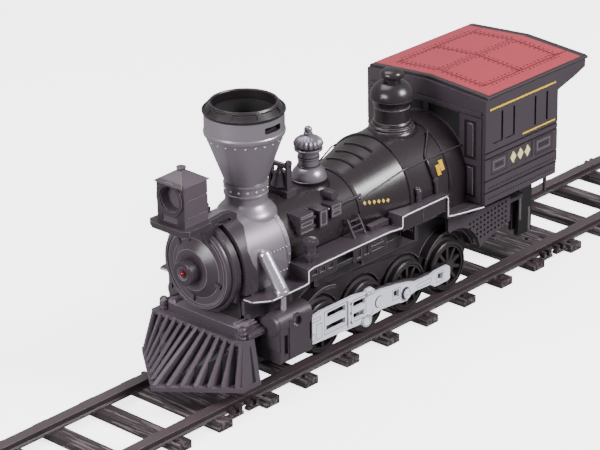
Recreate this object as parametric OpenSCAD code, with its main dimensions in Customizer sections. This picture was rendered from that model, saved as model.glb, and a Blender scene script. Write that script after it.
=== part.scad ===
// Battery-operated toy steam locomotive standing on three snap-together lengths of plastic track.
// X runs across the track, the engine faces -Y, Z is up. The origin is the middle of the track,
// on the underside of the ties. "Left" pieces are on the +X side.

/* [Track] */
// Distance between tie centres
tie_pitch = 30; // [29:0.5:31]
// Length of a tie, across the track
tie_len = 66; // [62:1:70]
// Width of a tie, along the track
tie_w = 9; // [8:0.25:10]
// Thickness of a tie
tie_h = 4.1; // [3.8:0.1:4.4]
// Distance between the inner faces of the two rails
gauge = 42; // [41.5:0.1:42.5]
// Width of a rail's head
rail_w = 6; // [5:0.1:6.5]
// Height of the rail's running surface
rail_top = 8; // [7.6:0.1:8.2]

/* [Wheels] */
// Radius of a wheel's tread
wheel_r = 13.2; // [13:0.05:13.3]
// Height of the axles
axle_z = 21.5; // [21.5:0.1:21.9]
// Distance from one axle to the next
axle_pitch = 31.5; // [31:0.1:32]
// Place of the first axle along the engine
first_axle_y = -56.5; // [-57:0.1:-56]
// Distance from a wheel's centre to its crank pin
crank_r = 7; // [6.5:0.1:7.2]
// Number of spokes in a wheel
spokes = 10; // [8:1:12]

/* [Boiler] */
// Height of the smokebox and front boiler axis
boiler_z = 67.4; // [67.2:0.1:67.6]
// Radius of the smokebox
smokebox_r = 22; // [21.8:0.1:22.2]
// Radius of the slim front part of the boiler
slim_r = 20.6; // [20.4:0.1:20.8]
// Radius of the large rear part of the boiler
big_r = 27.4; // [27:0.1:27.6]
// Height of the large boiler's axis
big_z = 69.3; // [69:0.1:69.6]

/* [Stack] */
// Place of the stack along the engine
stack_y = -83; // [-84:0.5:-82]
// Height of the stack's rim
stack_top = 141; // [138:0.5:142]
// Radius of the funnel at its widest
funnel_r = 19.2; // [18.8:0.1:19.4]

/* [Cab] */
// Half of the cab's width
cab_x = 39; // [38.5:0.1:39.5]
// Front face of the cab
cab_y0 = 48.5; // [48.5:0.1:49]
// Rear edge of the cab's sides
cab_y1 = 107; // [106:0.5:110]
// Height of the cab's bottom edge
cab_z0 = 55.5; // [55:0.1:56]
// Height of the eaves
eaves_z = 112; // [111:0.5:113]
// Rear edge of the roof
roof_y1 = 131.8; // [125:0.1:133]

/* [Hidden] */
$fn = 96;

charcoal = [0.27, 0.25, 0.28];
boiler_black = [0.2, 0.18, 0.2];
track_black = [0.16, 0.13, 0.14];
silver = [0.56, 0.53, 0.57];
rod_grey = [0.86, 0.86, 0.9];
cab_grey = [0.34, 0.31, 0.35];
roof_red = [0.74, 0.36, 0.38];

// Lines where one track section ends and the next begins, and the two free ends
joint_y = 118.25;
track_end = 234.75;
joint_gap = 0.15;

axle_r = 1.5;
pin_r = 1.4;
run = 0.05;
loose_pin = 0.35;
axle_ys = [for (i = [0:3]) first_axle_y + i * axle_pitch];
third_axle = axle_ys[2];

// Straight-toothed gears between the motor and the third axle
tooth = 0.6;
teeth_pinion = 10;
teeth_idler_big = 30;
teeth_idler_small = 12;
teeth_axle = 28;
mesh_gap = 0.12;
low_mesh = tooth * (teeth_idler_small + teeth_axle) / 2 + mesh_gap;
high_mesh = tooth * (teeth_pinion + teeth_idler_big) / 2 + mesh_gap;
idler_y = third_axle - low_mesh * cos(60);
idler_z = axle_z + low_mesh * sin(60);
motor_y = idler_y - high_mesh * cos(45);
motor_z = idler_z + high_mesh * sin(45);

wall = 2;
frame_x = 18;
shell = 2.2;

// Ends of the smokebox and of the boiler's taper
smoke_y0 = -103.6;
smoke_y1 = -76.6;
taper_y0 = -24.2;
taper_y1 = 5.4;

// ---------- helpers ----------
// Stands a solid made about Z along the engine, its low end towards the front
module along_y(x, y, z) {
    translate([x, y, z]) rotate([-90, 0, 0]) children();
}

// Lays a solid made about Z across the engine, its low end towards the right side
module along_x(x, y, z) {
    translate([x, y, z]) rotate([0, 90, 0]) children();
}

// Extrudes an outline drawn as [y, z] points across the engine, from x0 to x1
module side_plate(x0, x1) {
    translate([x0, 0, 0]) rotate([90, 0, 90]) linear_extrude(x1 - x0) children();
}

// Extrudes an outline drawn as [x, z] points along the engine, from y0 to y1
module cross_plate(y0, y1) {
    translate([0, y1, 0]) rotate([90, 0, 0]) linear_extrude(y1 - y0) children();
}

module block(x0, x1, y0, y1, z0, z1) {
    translate([x0, y0, z0]) cube([x1 - x0, y1 - y0, z1 - z0]);
}

module both_sides() {
    children();
    mirror([1, 0, 0]) children();
}

// ---------- track ----------
module rail(y0, y1) {
    inner = gauge / 2;
    outer = inner + rail_w;
    cross_plate(y0, y1) polygon([[inner - 0.7, tie_h - 0.1], [outer + 0.8, tie_h - 0.1],
        [outer + 0.8, tie_h + 0.8], [outer, tie_h + 1.4], [outer, rail_top],
        [inner, rail_top], [inner, tie_h + 1.4], [inner - 0.7, tie_h + 0.8]]);
}

module tie(y) {
    translate([0, y, tie_h / 2]) cube([tie_len, tie_w, tie_h], center = true);
    for (s = [-1, 1])
        translate([s * (gauge / 2 + rail_w + 1.8), y, tie_h + 0.4]) cube([2, 3, 1], center = true);
}

// One end of a section: a floor plate from the last tie to the joint line, with a tongue that
// reaches under the neighbour and a slot for the neighbour's own tongue; it looks towards +Y
module snap_end(last_tie, joint) {
    edge = joint - joint_gap;
    difference() {
        union() {
            block(-16, 16, last_tie, edge, 1.2, tie_h - 0.3);
            block(3.4, 12.6, last_tie, joint + 7.5, 1.2, tie_h - 0.3);
            for (s = [-1, 1]) for (reach = [4.5, 9])
                block(s * 29.3 - 1.5, s * 29.3 + 1.5, edge - reach, edge - reach + 2.2, 2, 6.4);
        }
        block(-13, -3, joint - 8, joint + 1, 0, tie_h + 1);
        translate([8, joint + 4, 0]) cylinder(r = 1.6, h = tie_h + 1);
    }
    for (s = [-1, 1])
        block(s * 29.3 - 1.5, s * 29.3 + 1.5, last_tie, edge - 1.5, 2, 3.6);
}

module track_piece(ties, y0, y1, joint0, joint1) {
    color(track_black) union() {
        for (y = ties) tie(y);
        for (s = [0, 1]) mirror([s, 0, 0]) rail(y0 + joint_gap, y1 - joint_gap);
        snap_end(ties[len(ties) - 1], joint1);
        rotate([0, 0, 180]) snap_end(-ties[0], -joint0);
    }
}

end_tie_gap = 15.95;
middle_half = [for (k = [0.5:1:2.5]) k * tie_pitch];
middle_last = joint_y - end_tie_gap;
outer_ties = [joint_y + end_tie_gap, joint_y + end_tie_gap + 27.3,
              track_end - end_tie_gap - 27.3, track_end - end_tie_gap];

module track_middle() {
    track_piece([-middle_last, for (i = [2:-1:0]) -middle_half[i], for (m = middle_half) m, middle_last],
                -joint_y, joint_y, -joint_y, joint_y);
}

module track_rear() {
    track_piece(outer_ties, joint_y, track_end, joint_y, track_end);
}

module track_front() {
    track_piece([for (i = [3:-1:0]) -outer_ties[i]], -track_end, -joint_y, -track_end, -joint_y);
}

// ---------- running gear ----------
module wheel() {
    rim_in = wheel_r - 2.9;
    difference() {
        union() {
            rotate_extrude() polygon([[0, 18.9], [wheel_r + 1.2, 18.9], [wheel_r + 1.4, 19.2],
                [wheel_r + 1.4, 20], [wheel_r, 20.6], [wheel_r, 23.4], [wheel_r - 0.4, 23.8],
                [wheel_r - 0.7, 24.3], [wheel_r - 1.5, 24.3], [wheel_r - 1.7, 23.6],
                [wheel_r - 2, 23.6], [wheel_r - 2.2, 24], [rim_in, 24], [rim_in, 20.8], [0, 20.8]]);
            for (i = [0:spokes - 1]) rotate([0, 0, (i + 0.5) * 360 / spokes])
                translate([2.5, -0.8, 20.8]) cube([rim_in - 2.2, 1.6, 2.6]);
            cylinder(r = 3.7, h = 24.6);
            translate([crank_r, 0, 20]) cylinder(r = 2.7, h = 4.2);
            hull() {
                translate([crank_r, 0, 20]) cylinder(r = 2.6, h = 3.6, $fn = 32);
                translate([0, 0, 20]) cylinder(r = 3.6, h = 3.6, $fn = 32);
            }
        }
        translate([0, 0, -1]) cylinder(r = 30, h = 19.9);
        translate([0, 0, 15]) cylinder(r = axle_r + 0.01, h = 7.5);
    }
}

// The two wheels of an axle, with crank pins a quarter turn apart: forward on the left, up on the right
module wheel_pair(n, pin_len, cap) {
    y = axle_ys[n];
    color(charcoal) {
        translate([0, y, axle_z]) rotate([0, 90, 0]) rotate([0, 0, -90]) wheel_with_pin(pin_len, cap);
        translate([0, y, axle_z]) rotate([0, -90, 0]) wheel_with_pin(pin_len, cap);
    }
}

module wheel_with_pin(pin_len, cap) {
    wheel();
    if (pin_len > 0)
        translate([crank_r, 0, 24]) cylinder(r = cap ? pin_r : pin_r - 0.3, h = pin_len);
    if (cap)
        translate([crank_r, 0, 24 + pin_len]) cylinder(r1 = 2.9, r2 = 2.5, h = 0.9);
}

module wheels_1() { wheel_pair(0, 0, false); }
module wheels_2() { wheel_pair(1, 4, false); }
module wheels_3() { wheel_pair(2, 4.6, true); }
module wheels_4() { wheel_pair(3, 3.4, false); }

module axle(n) {
    color("silver") along_x(-22.4, axle_ys[n], axle_z) cylinder(r = axle_r, h = 44.8);
}

module axle_1() { axle(0); }
module axle_2() { axle(1); }
module axle_3() { axle(2); }
module axle_4() { axle(3); }

// Brass bushes pressed into the frame's side walls, two for each axle
module axle_bushes() {
    color([0.8, 0.65, 0.3]) for (y = axle_ys, s = [-1, 1])
        translate([s * (frame_x - 1.1), y, axle_z]) rotate([0, 90, 0]) difference() {
            cylinder(r = 2.6, h = 3, center = true);
            cylinder(r = axle_r + run, h = 4, center = true);
        }
}

// Outline of the coupling rod with its pin over the origin, drawn as [along, up]
module rod_outline() {
    polygon([[-35, -3.2], [-25, -3.2], [-17, -2.5], [-5, -3.6], [-2.6, -4.4], [1.2, -4.6],
        [4.5, -2.4], [8.6, -1.7], [19.5, -2.3], [22.8, -4.6], [33.6, -4.6], [34.6, -3.6],
        [34.6, 2.4], [33.6, 3.4], [24, 3.4], [20.4, 2.4], [9, 2.8], [4, 4.4], [-4, 6],
        [-18, 7.9], [-24, 7.6], [-26, 5.6], [-35, 3.4]]);
}

module inner_rod_outline() {
    polygon([[-35, -3], [35, -3], [35, 3], [24, 3], [10, 4], [2, 6.4], [-19, 8.8], [-24, 8], [-35, 3.4]]);
}

module side_rod(x0, x1, pin_y, pin_z) {
    translate([0, pin_y, pin_z]) difference() {
        union() {
            side_plate(x0, x1) difference() {
                rod_outline();
                translate([-9, 0]) square([4.2, 4]);
            }
            // raised boss where the crosshead's link would join
            along_x(x1 - 0.2, -20, 2.5) cylinder(r = 2.8, h = 0.7);
        }
        along_x(x0 - 1, 0, 0) cylinder(r = pin_r + run, h = 4);
        along_x(x0 - 1, -axle_pitch, 0) cylinder(r = pin_r + loose_pin, h = 4);
        along_x(x0 - 1, axle_pitch, 0) cylinder(r = pin_r + loose_pin, h = 2);
        block(x0 - 1, x1 + 1, 25, 29, -2.2, 1.6);
    }
}

module inner_rod(x0, x1, pin_y, pin_z) {
    translate([0, pin_y, pin_z]) difference() {
        side_plate(x0, x1) inner_rod_outline();
        along_x(x0 - 1, 0, 0) cylinder(r = pin_r + run, h = 4);
        for (s = [-1, 1]) along_x(x0 - 1, s * axle_pitch, 0) cylinder(r = pin_r + loose_pin, h = 4);
    }
}

rod_in = 25;
rod_mid = 26.4;
rod_out = 28.4;
left_pin = [third_axle - crank_r, axle_z];
right_pin = [third_axle, axle_z + crank_r];

module side_rod_left() { color(rod_grey) side_rod(rod_mid, rod_out, left_pin[0], left_pin[1]); }
module inner_rod_left() { color(charcoal) inner_rod(rod_in, rod_mid, left_pin[0], left_pin[1]); }

module side_rod_right() {
    color(rod_grey) mirror([1, 0, 0]) side_rod(rod_mid, rod_out, right_pin[0], right_pin[1]);
}

module inner_rod_right() {
    color(charcoal) mirror([1, 0, 0]) inner_rod(rod_in, rod_mid, right_pin[0], right_pin[1]);
}

// Slotted crosshead guide that plugs into the back of the cylinder block
guide_x = 29.4;
module guide() {
    difference() {
        union() {
            side_plate(guide_x, guide_x + 1.6) difference() {
                polygon([[-79, 20.6], [-36.8, 18.4], [-33.3, 18.4], [-30, 23], [-27.6, 23.6], [-27.6, 33],
                    [-28.4, 35.2], [-32, 35.4], [-33.6, 34.2], [-41, 35.4], [-66, 35.6], [-73.4, 34.4], [-79, 34]]);
                for (slot = [[-61.4, 30, 13.2], [-62, 23.4, 13.6], [-43.2, 28.8, 9.4], [-43.4, 22.7, 9]])
                    translate([slot[0], slot[1]]) square([slot[2], 3.2]);
            }
            block(guide_x + 1.6, guide_x + 2.4, -46.8, -43.4, 20.4, 34.4);
            along_x(guide_x, -33.3, 19.4) cylinder(r = 3.4, h = 2.6);
            for (y = [-31.8, -28.9]) along_x(guide_x, y, 33.4) cylinder(r = 1.5, h = 2.4);
        }
        along_x(guide_x + 2, -33.3, 19.4) cylinder(r = 2.4, h = 1);
    }
}

module crosshead_guides() { color(rod_grey) both_sides() guide(); }

// ---------- cylinders ----------
cyl_y0 = -100;
cyl_y1 = -78;
cyl_x = 31;
cyl_z = 40.8;
cyl_r = 6;
screw_y = -88.5;
screw_z = 40.8;

module cylinder_block() {
    difference() {
        union() {
            cross_plate(cyl_y0, cyl_y1) union() {
                polygon([[20, 21.5], [35.6, 21.5], [36.6, 23], [36.6, 41], [20, 44]]);
                translate([cyl_x, cyl_z]) circle(r = cyl_r);
            }
            // domed front cover, and the raised pad round the fixing screw
            along_y(cyl_x, cyl_y0 - 2, cyl_z) cylinder(r1 = cyl_r - 0.9, r2 = cyl_r - 0.3, h = 2.1);
            block(25.2, 36.2, cyl_y0 - 1.2, cyl_y0 + 1, 29, cyl_z);
            block(36, 37.1, -94.2, -80.6, 23.2, 43);
            along_x(36, screw_y, screw_z) cylinder(r = 4.1, h = 1.2);
        }
        // flat inner face against the frame's side wall
        block(10, frame_x, cyl_y0 - 5, cyl_y1 + 1, 10, 60);
        along_x(34.4, screw_y, screw_z) cylinder(r = 2.6, h = 10);
        along_x(10, screw_y, screw_z) cylinder(r = 1.3, h = 26);
        block(35.2, 40, -97.6, -95, 26, 36);
        block(35.6, 40, -79.8, -78.6, 28, 37);
        block(guide_x - 0.05, guide_x + 1.65, cyl_y1 - 1.05, cyl_y1 + 1, 20, 36);
    }
}

module cylinders() { color(charcoal) both_sides() cylinder_block(); }

// ---------- chassis ----------
deck_z = 54;
frame_y0 = -110;
frame_y1 = 106;
upper_y0 = -107.4;
ledge_z = 37.4;
hinge_y = 110.6;
module chassis_frame() {
    color(charcoal) difference() {
        union() {
            for (s = [-1, 1])
                side_plate(min(s * frame_x, s * (frame_x - wall)), max(s * frame_x, s * (frame_x - wall)))
                    polygon([[frame_y0, 15.5], [55, 15.5], [62, 29], [97, 29], [97, 20], [frame_y1, 20],
                        [frame_y1, deck_z - 2], [upper_y0, deck_z - 2], [upper_y0, ledge_z], [frame_y0, ledge_z]]);
            block(-20, 20, frame_y0, 49, deck_z - 2, deck_z);
            block(-20, 20, 46.5, frame_y1, deck_z - 4, deck_z - 2);
            // front wall, stepped back above the ledge that carries the beam
            block(-frame_x, frame_x, frame_y0, frame_y0 + wall, 15.5, ledge_z);
            block(-frame_x, frame_x, frame_y0, upper_y0 + wall, ledge_z - wall, ledge_z);
            block(-frame_x, frame_x, upper_y0, upper_y0 + wall, ledge_z - wall, deck_z - 2);
            block(-frame_x, frame_x, frame_y1 - wall, frame_y1, 20, deck_z - 2);
            for (y = [[-67, 17.5], [-40, 17.5], [46, 17.5], [84, 29]])
                block(-frame_x, frame_x, y[0], y[0] + wall, y[1], deck_z - 2);
            for (y = [-66, 47]) for (s = [-1, 1])
                translate([s * 10, y, 17.5]) cylinder(r = 2.6, h = 20);
            // two lugs that hold the drawbar's hinge pin
            for (z = [22.2, 30.2]) difference() {
                union() {
                    block(-3.3, 3.3, frame_y1 - 1, hinge_y, z, z + 3);
                    translate([0, hinge_y, z]) cylinder(r = 4, h = 3);
                }
                translate([0, hinge_y, z - 1]) cylinder(r = 1.2, h = 5);
            }
        }
        for (y = axle_ys) along_x(-30, y, axle_z) cylinder(r = 2.6, h = 60);
        for (y = [-66, 47]) for (s = [-1, 1])
            translate([s * 10, y, 15]) cylinder(r = 0.9, h = 14);
        both_sides() along_x(frame_x - 4, screw_y, screw_z) cylinder(r = 1.3, h = 6);
        // hole for the motor wires and the body fixing
        block(-12, 12, -28, 40, deck_z - 3, deck_z + 1);
        block(-10, 10, 92, 98, deck_z - 5, deck_z + 1);
    }
}

// Bottom cover that keeps the axles in and can be unscrewed to reach the gears
module keeper_plate() {
    color(charcoal) difference() {
        block(-frame_x + wall, frame_x - wall, -71.8, 53.8, 15.5, 17.4);
        block(11.4, 15.4, third_axle - 10, third_axle + 10, 14, 18);
        for (y = [-66, 47]) for (s = [-1, 1]) translate([s * 10, y, 15]) {
            cylinder(r = 1.35, h = 4);
            cylinder(r = 2.6, h = 1.4);
        }
    }
}

module screws() {
    color("silver") for (y = [-66, 47], s = [-1, 1]) translate([s * 10, y, 0]) {
        translate([0, 0, 15.5]) cylinder(r = 2.4, h = 0.9);
        translate([0, 0, 16.4]) cylinder(r = 0.88, h = 10);
    }
    color("silver") both_sides() {
        along_x(34.4, screw_y, screw_z) difference() {
            cylinder(r = 2.4, h = 0.9);
            translate([-0.4, -1.8, 0.5]) cube([0.8, 3.6, 1]);
            translate([-1.8, -0.4, 0.5]) cube([3.6, 0.8, 1]);
        }
        along_x(20.4, screw_y, screw_z) cylinder(r = 1.25, h = 14);
    }
}

// Side frames behind the wheels, arched over each wheel, with splash guards at both ends
arch_r = 16.2;
module splash_guard(y, a0, a1, r_in, thick, x1) {
    translate([0, y, axle_z]) side_plate(19.6, x1) difference() {
        intersection() {
            circle(r = r_in + thick);
            polygon(concat([[0, 0]], [for (a = [a0:10:a1]) 60 * [cos(a), sin(a)]]));
        }
        circle(r = r_in);
    }
}

module wheel_arches() {
    color(boiler_black) both_sides() {
        difference() {
            side_plate(frame_x, 19.6) polygon([[-77.9, 30], [60, 30], [60, 50], [-77.9, 50]]);
            for (y = axle_ys) along_x(10, y, axle_z) cylinder(r = arch_r, h = 20);
        }
        splash_guard(axle_ys[3], 20, 150, 19, 1.8, 24.8);
        splash_guard(axle_ys[0], 70, 150, 20.6, 1.8, 26);
        block(19.6, 23, -60, 12, 44, 50);
    }
}

module perforated_plates() {
    color(charcoal) both_sides() difference() {
        union() {
            side_plate(26, 28) difference() {
                polygon([[42, 25], [56, 25], [66, 29.4], [83, 33], [83, 46.4], [50, 47.4], [33, 52], [33, 44]]);
                translate([axle_ys[3], axle_z]) circle(r = 21.2);
            }
            block(20, 26, 70, 72, 40, 46);
            block(20, 26, 81, 83, 40, 46);
            block(20, 26, 44, 46, 44, 47);
            // hanger behind the last bay of the frame
            block(frame_x + 0.02, 21, 99, 110, 17, 43);
            block(frame_x + 0.02, 24, 82, 100, 40, 42);
        }
        for (i = [0:10], j = [0:4])
            if (i > 1 || j > 2)
                along_x(24, 50.4 + i * 2.9, 31 + i * 0.3 + j * 2.7) cylinder(r = 0.8, h = 12, $fn = 16);
    }
}

// ---------- gear train ----------
module gear(teeth, h, bore) {
    pitch_r = tooth * teeth / 2;
    tip_r = pitch_r + 0.85 * tooth;
    root_r = pitch_r - 1.15 * tooth;
    half = 90 / teeth;
    difference() {
        linear_extrude(h) polygon([for (i = [0:teeth - 1], k = [0:3])
            let (a = i * 360 / teeth + [-1.25, -0.42, 0.42, 1.25][k] * half,
                 r = (k == 0 || k == 3) ? root_r : tip_r) [r * cos(a), r * sin(a)]]);
        if (bore > 0) translate([0, 0, -1]) cylinder(r = bore, h = h + 2);
    }
}

gear_x = 9.6;
module motor_pinion() {
    color([0.8, 0.65, 0.3]) {
        along_x(gear_x, motor_y, motor_z) rotate([0, 0, 45]) gear(teeth_pinion, 2.4, 1.01);
        along_x(6.4, motor_y, motor_z) cylinder(r = 1, h = 7.4);
    }
}

module idler_gear() {
    color([0.9, 0.9, 0.86]) along_x(gear_x, idler_y, idler_z) difference() {
        union() {
            rotate([0, 0, 225 + 180 / teeth_idler_big]) gear(teeth_idler_big, 1.8, 0);
            translate([0, 0, 1.8]) rotate([0, 0, 30]) gear(teeth_idler_small, 3.2, 0);
        }
        translate([0, 0, -1]) cylinder(r = 1 + run, h = 8);
    }
}

// Steel pins: one carries the idler inside the frame, the other is the drawbar's hinge
module pivot_pins() {
    color("silver") {
        along_x(7.2, idler_y, idler_z) cylinder(r = 1, h = 8.8);
        translate([0, hinge_y, 22.2]) cylinder(r = 1.2, h = 11);
    }
}

module axle_gear() {
    color([0.9, 0.9, 0.86]) along_x(gear_x + 2.4, third_axle, axle_z)
        rotate([0, 0, 210 + 180 / teeth_axle]) gear(teeth_axle, 2.2, axle_r + 0.01);
}

// Moulded wall that holds the motor and the idler's pin beside the gears
module gear_case() {
    color(boiler_black) difference() {
        union() {
            block(7.2, 9.2, -24, 19, 26, 51.8);
            block(-frame_x + wall, 7.2, -24, -20, 26, 30);
            block(-frame_x + wall, 7.2, 4, 6, 34, 51.8);
        }
        along_x(6, motor_y, motor_z) cylinder(r = 3.2, h = 5);
        along_x(6, idler_y, idler_z) cylinder(r = 1, h = 5);
    }
}

module motor() {
    color([0.7, 0.7, 0.72]) difference() {
        union() {
            intersection() {
                along_x(-15.8, motor_y, motor_z) cylinder(r = 10, h = 21.8);
                block(-20, 20, motor_y - 11, motor_y + 11, motor_z - 7.6, motor_z + 7.6);
            }
            along_x(6, motor_y, motor_z) cylinder(r = 3, h = 2.4);
        }
        along_x(5, motor_y, motor_z) cylinder(r = 1 + run, h = 10);
    }
}

// ---------- pilot and front beam ----------
pilot_top = 37.5;
pilot_low = 15;
pilot_x = 33.4;
slat_step = 4.8;
module pilot() {
    color(charcoal) {
        // foot: a broad V with its point on the centre line
        translate([0, 0, pilot_low]) linear_extrude(2.2)
            polygon([[0, -150], [pilot_x + 0.6, -123], [pilot_x + 0.6, -111], [pilot_x - 3, -111],
                [pilot_x - 3, -119], [0, -143], [-pilot_x + 3, -119], [-pilot_x + 3, -111],
                [-pilot_x - 0.6, -111], [-pilot_x - 0.6, -123]]);
        block(-30.2, 30.2, -119, -111.4, 35.4, pilot_top);
        block(-frame_x, frame_x, -112, frame_y0, 30, pilot_top);
        for (k = [-6:6]) pilot_slat(k);
        both_sides() pilot_web();
        both_sides() hull() {
            block(pilot_x - 1.4, pilot_x, -122.6, -111, pilot_low + 2.2, pilot_low + 3);
            block(29.2, 30.2, -118.4, -111, pilot_top - 1, pilot_top);
        }
    }
}

// Upright fin with a rounded nose, leaning back from the foot to the top bar
module pilot_slat(k) {
    top_x = k * slat_step;
    low_x = k * (pilot_x - 2.6) / 6;
    low_y = -148.4 + abs(low_x) * 26 / pilot_x;
    hull() {
        translate([top_x, -116.6, pilot_top - 1]) cube([2.2, 4.2, 1.6], center = true);
        translate([low_x, low_y + 3, pilot_low + 2.5]) cube([2.8, 4.4, 1], center = true);
        translate([top_x, -119.4, pilot_top - 1.2]) cube([1, 0.4, 1.2], center = true);
        translate([low_x, low_y - 0.2, pilot_low + 2.5]) cube([1.4, 0.4, 1], center = true);
    }
}

// Sloping web that closes the pilot behind its fins
module pilot_web() {
    difference() {
        pilot_wedge(0);
        pilot_wedge(1.6);
    }
}

module pilot_wedge(back) {
    hull() {
        translate([0, 0, pilot_low + 2 - 2 * back]) linear_extrude(0.2)
            polygon([[-back, -142.6 + back], [31.4, -117.6 + back], [31.4, -111.2], [-back, -111.2]]);
        translate([0, 0, pilot_top - 2.4 - back]) linear_extrude(0.2)
            polygon([[-back, -115.4 + back], [29.4, -115.4 + back], [29.4, -111.2], [-back, -111.2]]);
    }
}

post_x = 26;
post_y = -114.6;
module buffer_beam() {
    color(charcoal) {
        difference() {
            union() {
                translate([0, 0, pilot_top]) linear_extrude(4.6) union() {
                    block_2d(-21, 21, -115.2, -107);
                    for (s = [-1, 1]) translate([s * 21, -111.1]) circle(r = 4.1);
                }
                for (s = [-1, 1]) block(s * 21.4 - 3, s * 21.4 + 3, -108, -103, 37.6, 41);
                both_sides() tread();
            }
            block(-frame_x - 0.05, frame_x + 0.05, upper_y0 - 0.05, -90, 30, 60);
            for (s = [-1, 1]) translate([s * post_x, post_y, 30]) cylinder(r = 2.35, h = 20);
        }
        for (s = [-1, 1]) translate([s * post_x, post_y, pilot_top]) rotate_extrude()
            polygon([[0, 0], [2.3, 0], [2.3, 1], [1.9, 1.3], [1.9, 1.9], [2.3, 2.2], [2.3, 3.2], [1.9, 3.5],
                [1.9, 4.1], [2.2, 4.4], [2, 5.4], [1.2, 6.2], [0, 6.5]]);
    }
}

// Ribbed step beside the beam, sloping down and outward
module tread() {
    cross_plate(-113.6, -103) polygon([[19, 40], [30, 37.7], [30, 39.4], [19, 43.2]]);
    for (i = [0:4]) cross_plate(-113.6, -103)
        polygon([[19.6 + i * 2.2, 42.6 - i * 0.76], [20.6 + i * 2.2, 42.3 - i * 0.76],
            [20.6 + i * 2.2, 43.3 - i * 0.76], [19.6 + i * 2.2, 43.6 - i * 0.76]]);
}

module block_2d(x0, x1, y0, y1) {
    translate([x0, y0]) square([x1 - x0, y1 - y0]);
}

// ---------- footplate ----------
board_x = 34;
board_t = 1.3;
function lowered(path, d) = [for (i = [len(path) - 1:-1:0]) [path[i][0], path[i][1] - d]];
board_path = [[-102, 55.6], [-77.4, 55.6], [-77.4, 62.8], [-19, 62.8], [-9.4, 61.6], [-9.4, 67.6],
              [26.2, 67.6], [26.2, 56.2], [cab_y0, 55.4]];
board_under = [[cab_y0, 54.1], [24.9, 54.9], [24.9, 66.3], [-8.1, 66.3], [-8.1, 60.2], [-19, 61.5],
               [-76.1, 61.5], [-76.1, 54.3], [-102, 54.3]];
module footplate() {
    color(charcoal) {
        both_sides() difference() {
            union() {
                side_plate(19.9, board_x) polygon(concat(board_path, board_under));
                block(20.1, 24, -107, -78, 44.05, 54.9);
            }
            block(-30, smokebox_r + 0.05, -120, smoke_y1 + 0.1, deck_z, 90);
            along_y(0, -78, boiler_z) cylinder(r = slim_r + 0.6, h = 60);
            along_y(0, taper_y0 - 2, boiler_z) cylinder(r1 = slim_r + 0.9, r2 = big_r + 0.9, h = 31);
            block(-30, big_r + 0.6, taper_y1 - 2.5, 60, deck_z, 90);
        }
        both_sides() {
            // rear end that flares out to the width of the cab
            translate([0, 0, 54.1]) linear_extrude(1.3)
                polygon([[board_x - 1, 30], [board_x, 30], [cab_x - 0.2, cab_y0], [board_x - 1, cab_y0]]);
            // front apron that drops forward to the beam
            hull() {
                block(24.4, board_x, -102.4, -101.4, 54.35, 55.55);
                block(24.4, 30.4, -112, -111.4, 55.8, 57);
            }
            block(23.2, 25, -111.8, -102.2, 48, 55.2);
        }
    }
}

// Moulded relief of pipes and boxes that hangs under the boards, and the ashpan panel
module side_panels() {
    color(charcoal) both_sides() {
        difference() {
            block(30.6, 33, -75.9, -56, 54.6, 61.4);
            for (y = [-73.5, -68, -62.5]) block(32.3, 34, y, y + 3.6, 57.4, 60);
        }
        difference() {
            block(30.6, 33, -44, -20, 54, 61.2);
            for (y = [-41.5, -36]) block(32.3, 34, y, y + 3, 55.6, 59.8);
            block(32.3, 34, -31, -22, 58.2, 59.6);
            block(32.3, 34, -31, -22, 55.6, 57);
        }
        block(31.2, 32.4, -56, -44, 55, 57);
        difference() {
            block(31, 33.4, -8, 24.8, 59, 66.2);
            block(33, 34, 6.6, 7.4, 58, 68);
        }
        block(23, 31, -70, -68, 50, 61.4);
        block(23, 31, -36, -34, 50, 61.4);
        block(23, 32.4, 2, 4, 50, 53.9);
        block(31, 32.4, 2, 4, 50, 60);
        block(20.05, 23, -72, 10, 50.1, 53.9);
    }
}

// ---------- boiler group ----------
module smokebox() {
    color(silver) difference() {
        union() {
            smokebox_shape(smokebox_r);
            along_y(0, smoke_y1 - 2.4, boiler_z) cylinder(r = smokebox_r + 0.4, h = 2.4);
            // tongue over the crown that shows through the front casting
            intersection() {
                along_y(0, -113.4, boiler_z) cylinder(r = smokebox_r, h = 12);
                block(-6.8, 6.8, -114, smoke_y0 + 1, 80, 100);
            }
        }
        smokebox_shape(smokebox_r - shell);
        block(-16, 16, -110, -70, deck_z - 4, boiler_z);
        along_y(0, -114, boiler_z) cylinder(r = smokebox_r - shell, h = 50);
        translate([0, stack_y, boiler_z]) cylinder(r = 7, h = 40);
        block(-30, 30, -120, -70, 30, deck_z + 0.02);
    }
}

// Round above its axis and flat-sided below it
module smokebox_shape(r) {
    along_y(0, smoke_y0, boiler_z) cylinder(r = r, h = smoke_y1 - smoke_y0);
    block(-r, r, smoke_y0, smoke_y1, deck_z - 4, boiler_z);
}

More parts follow.
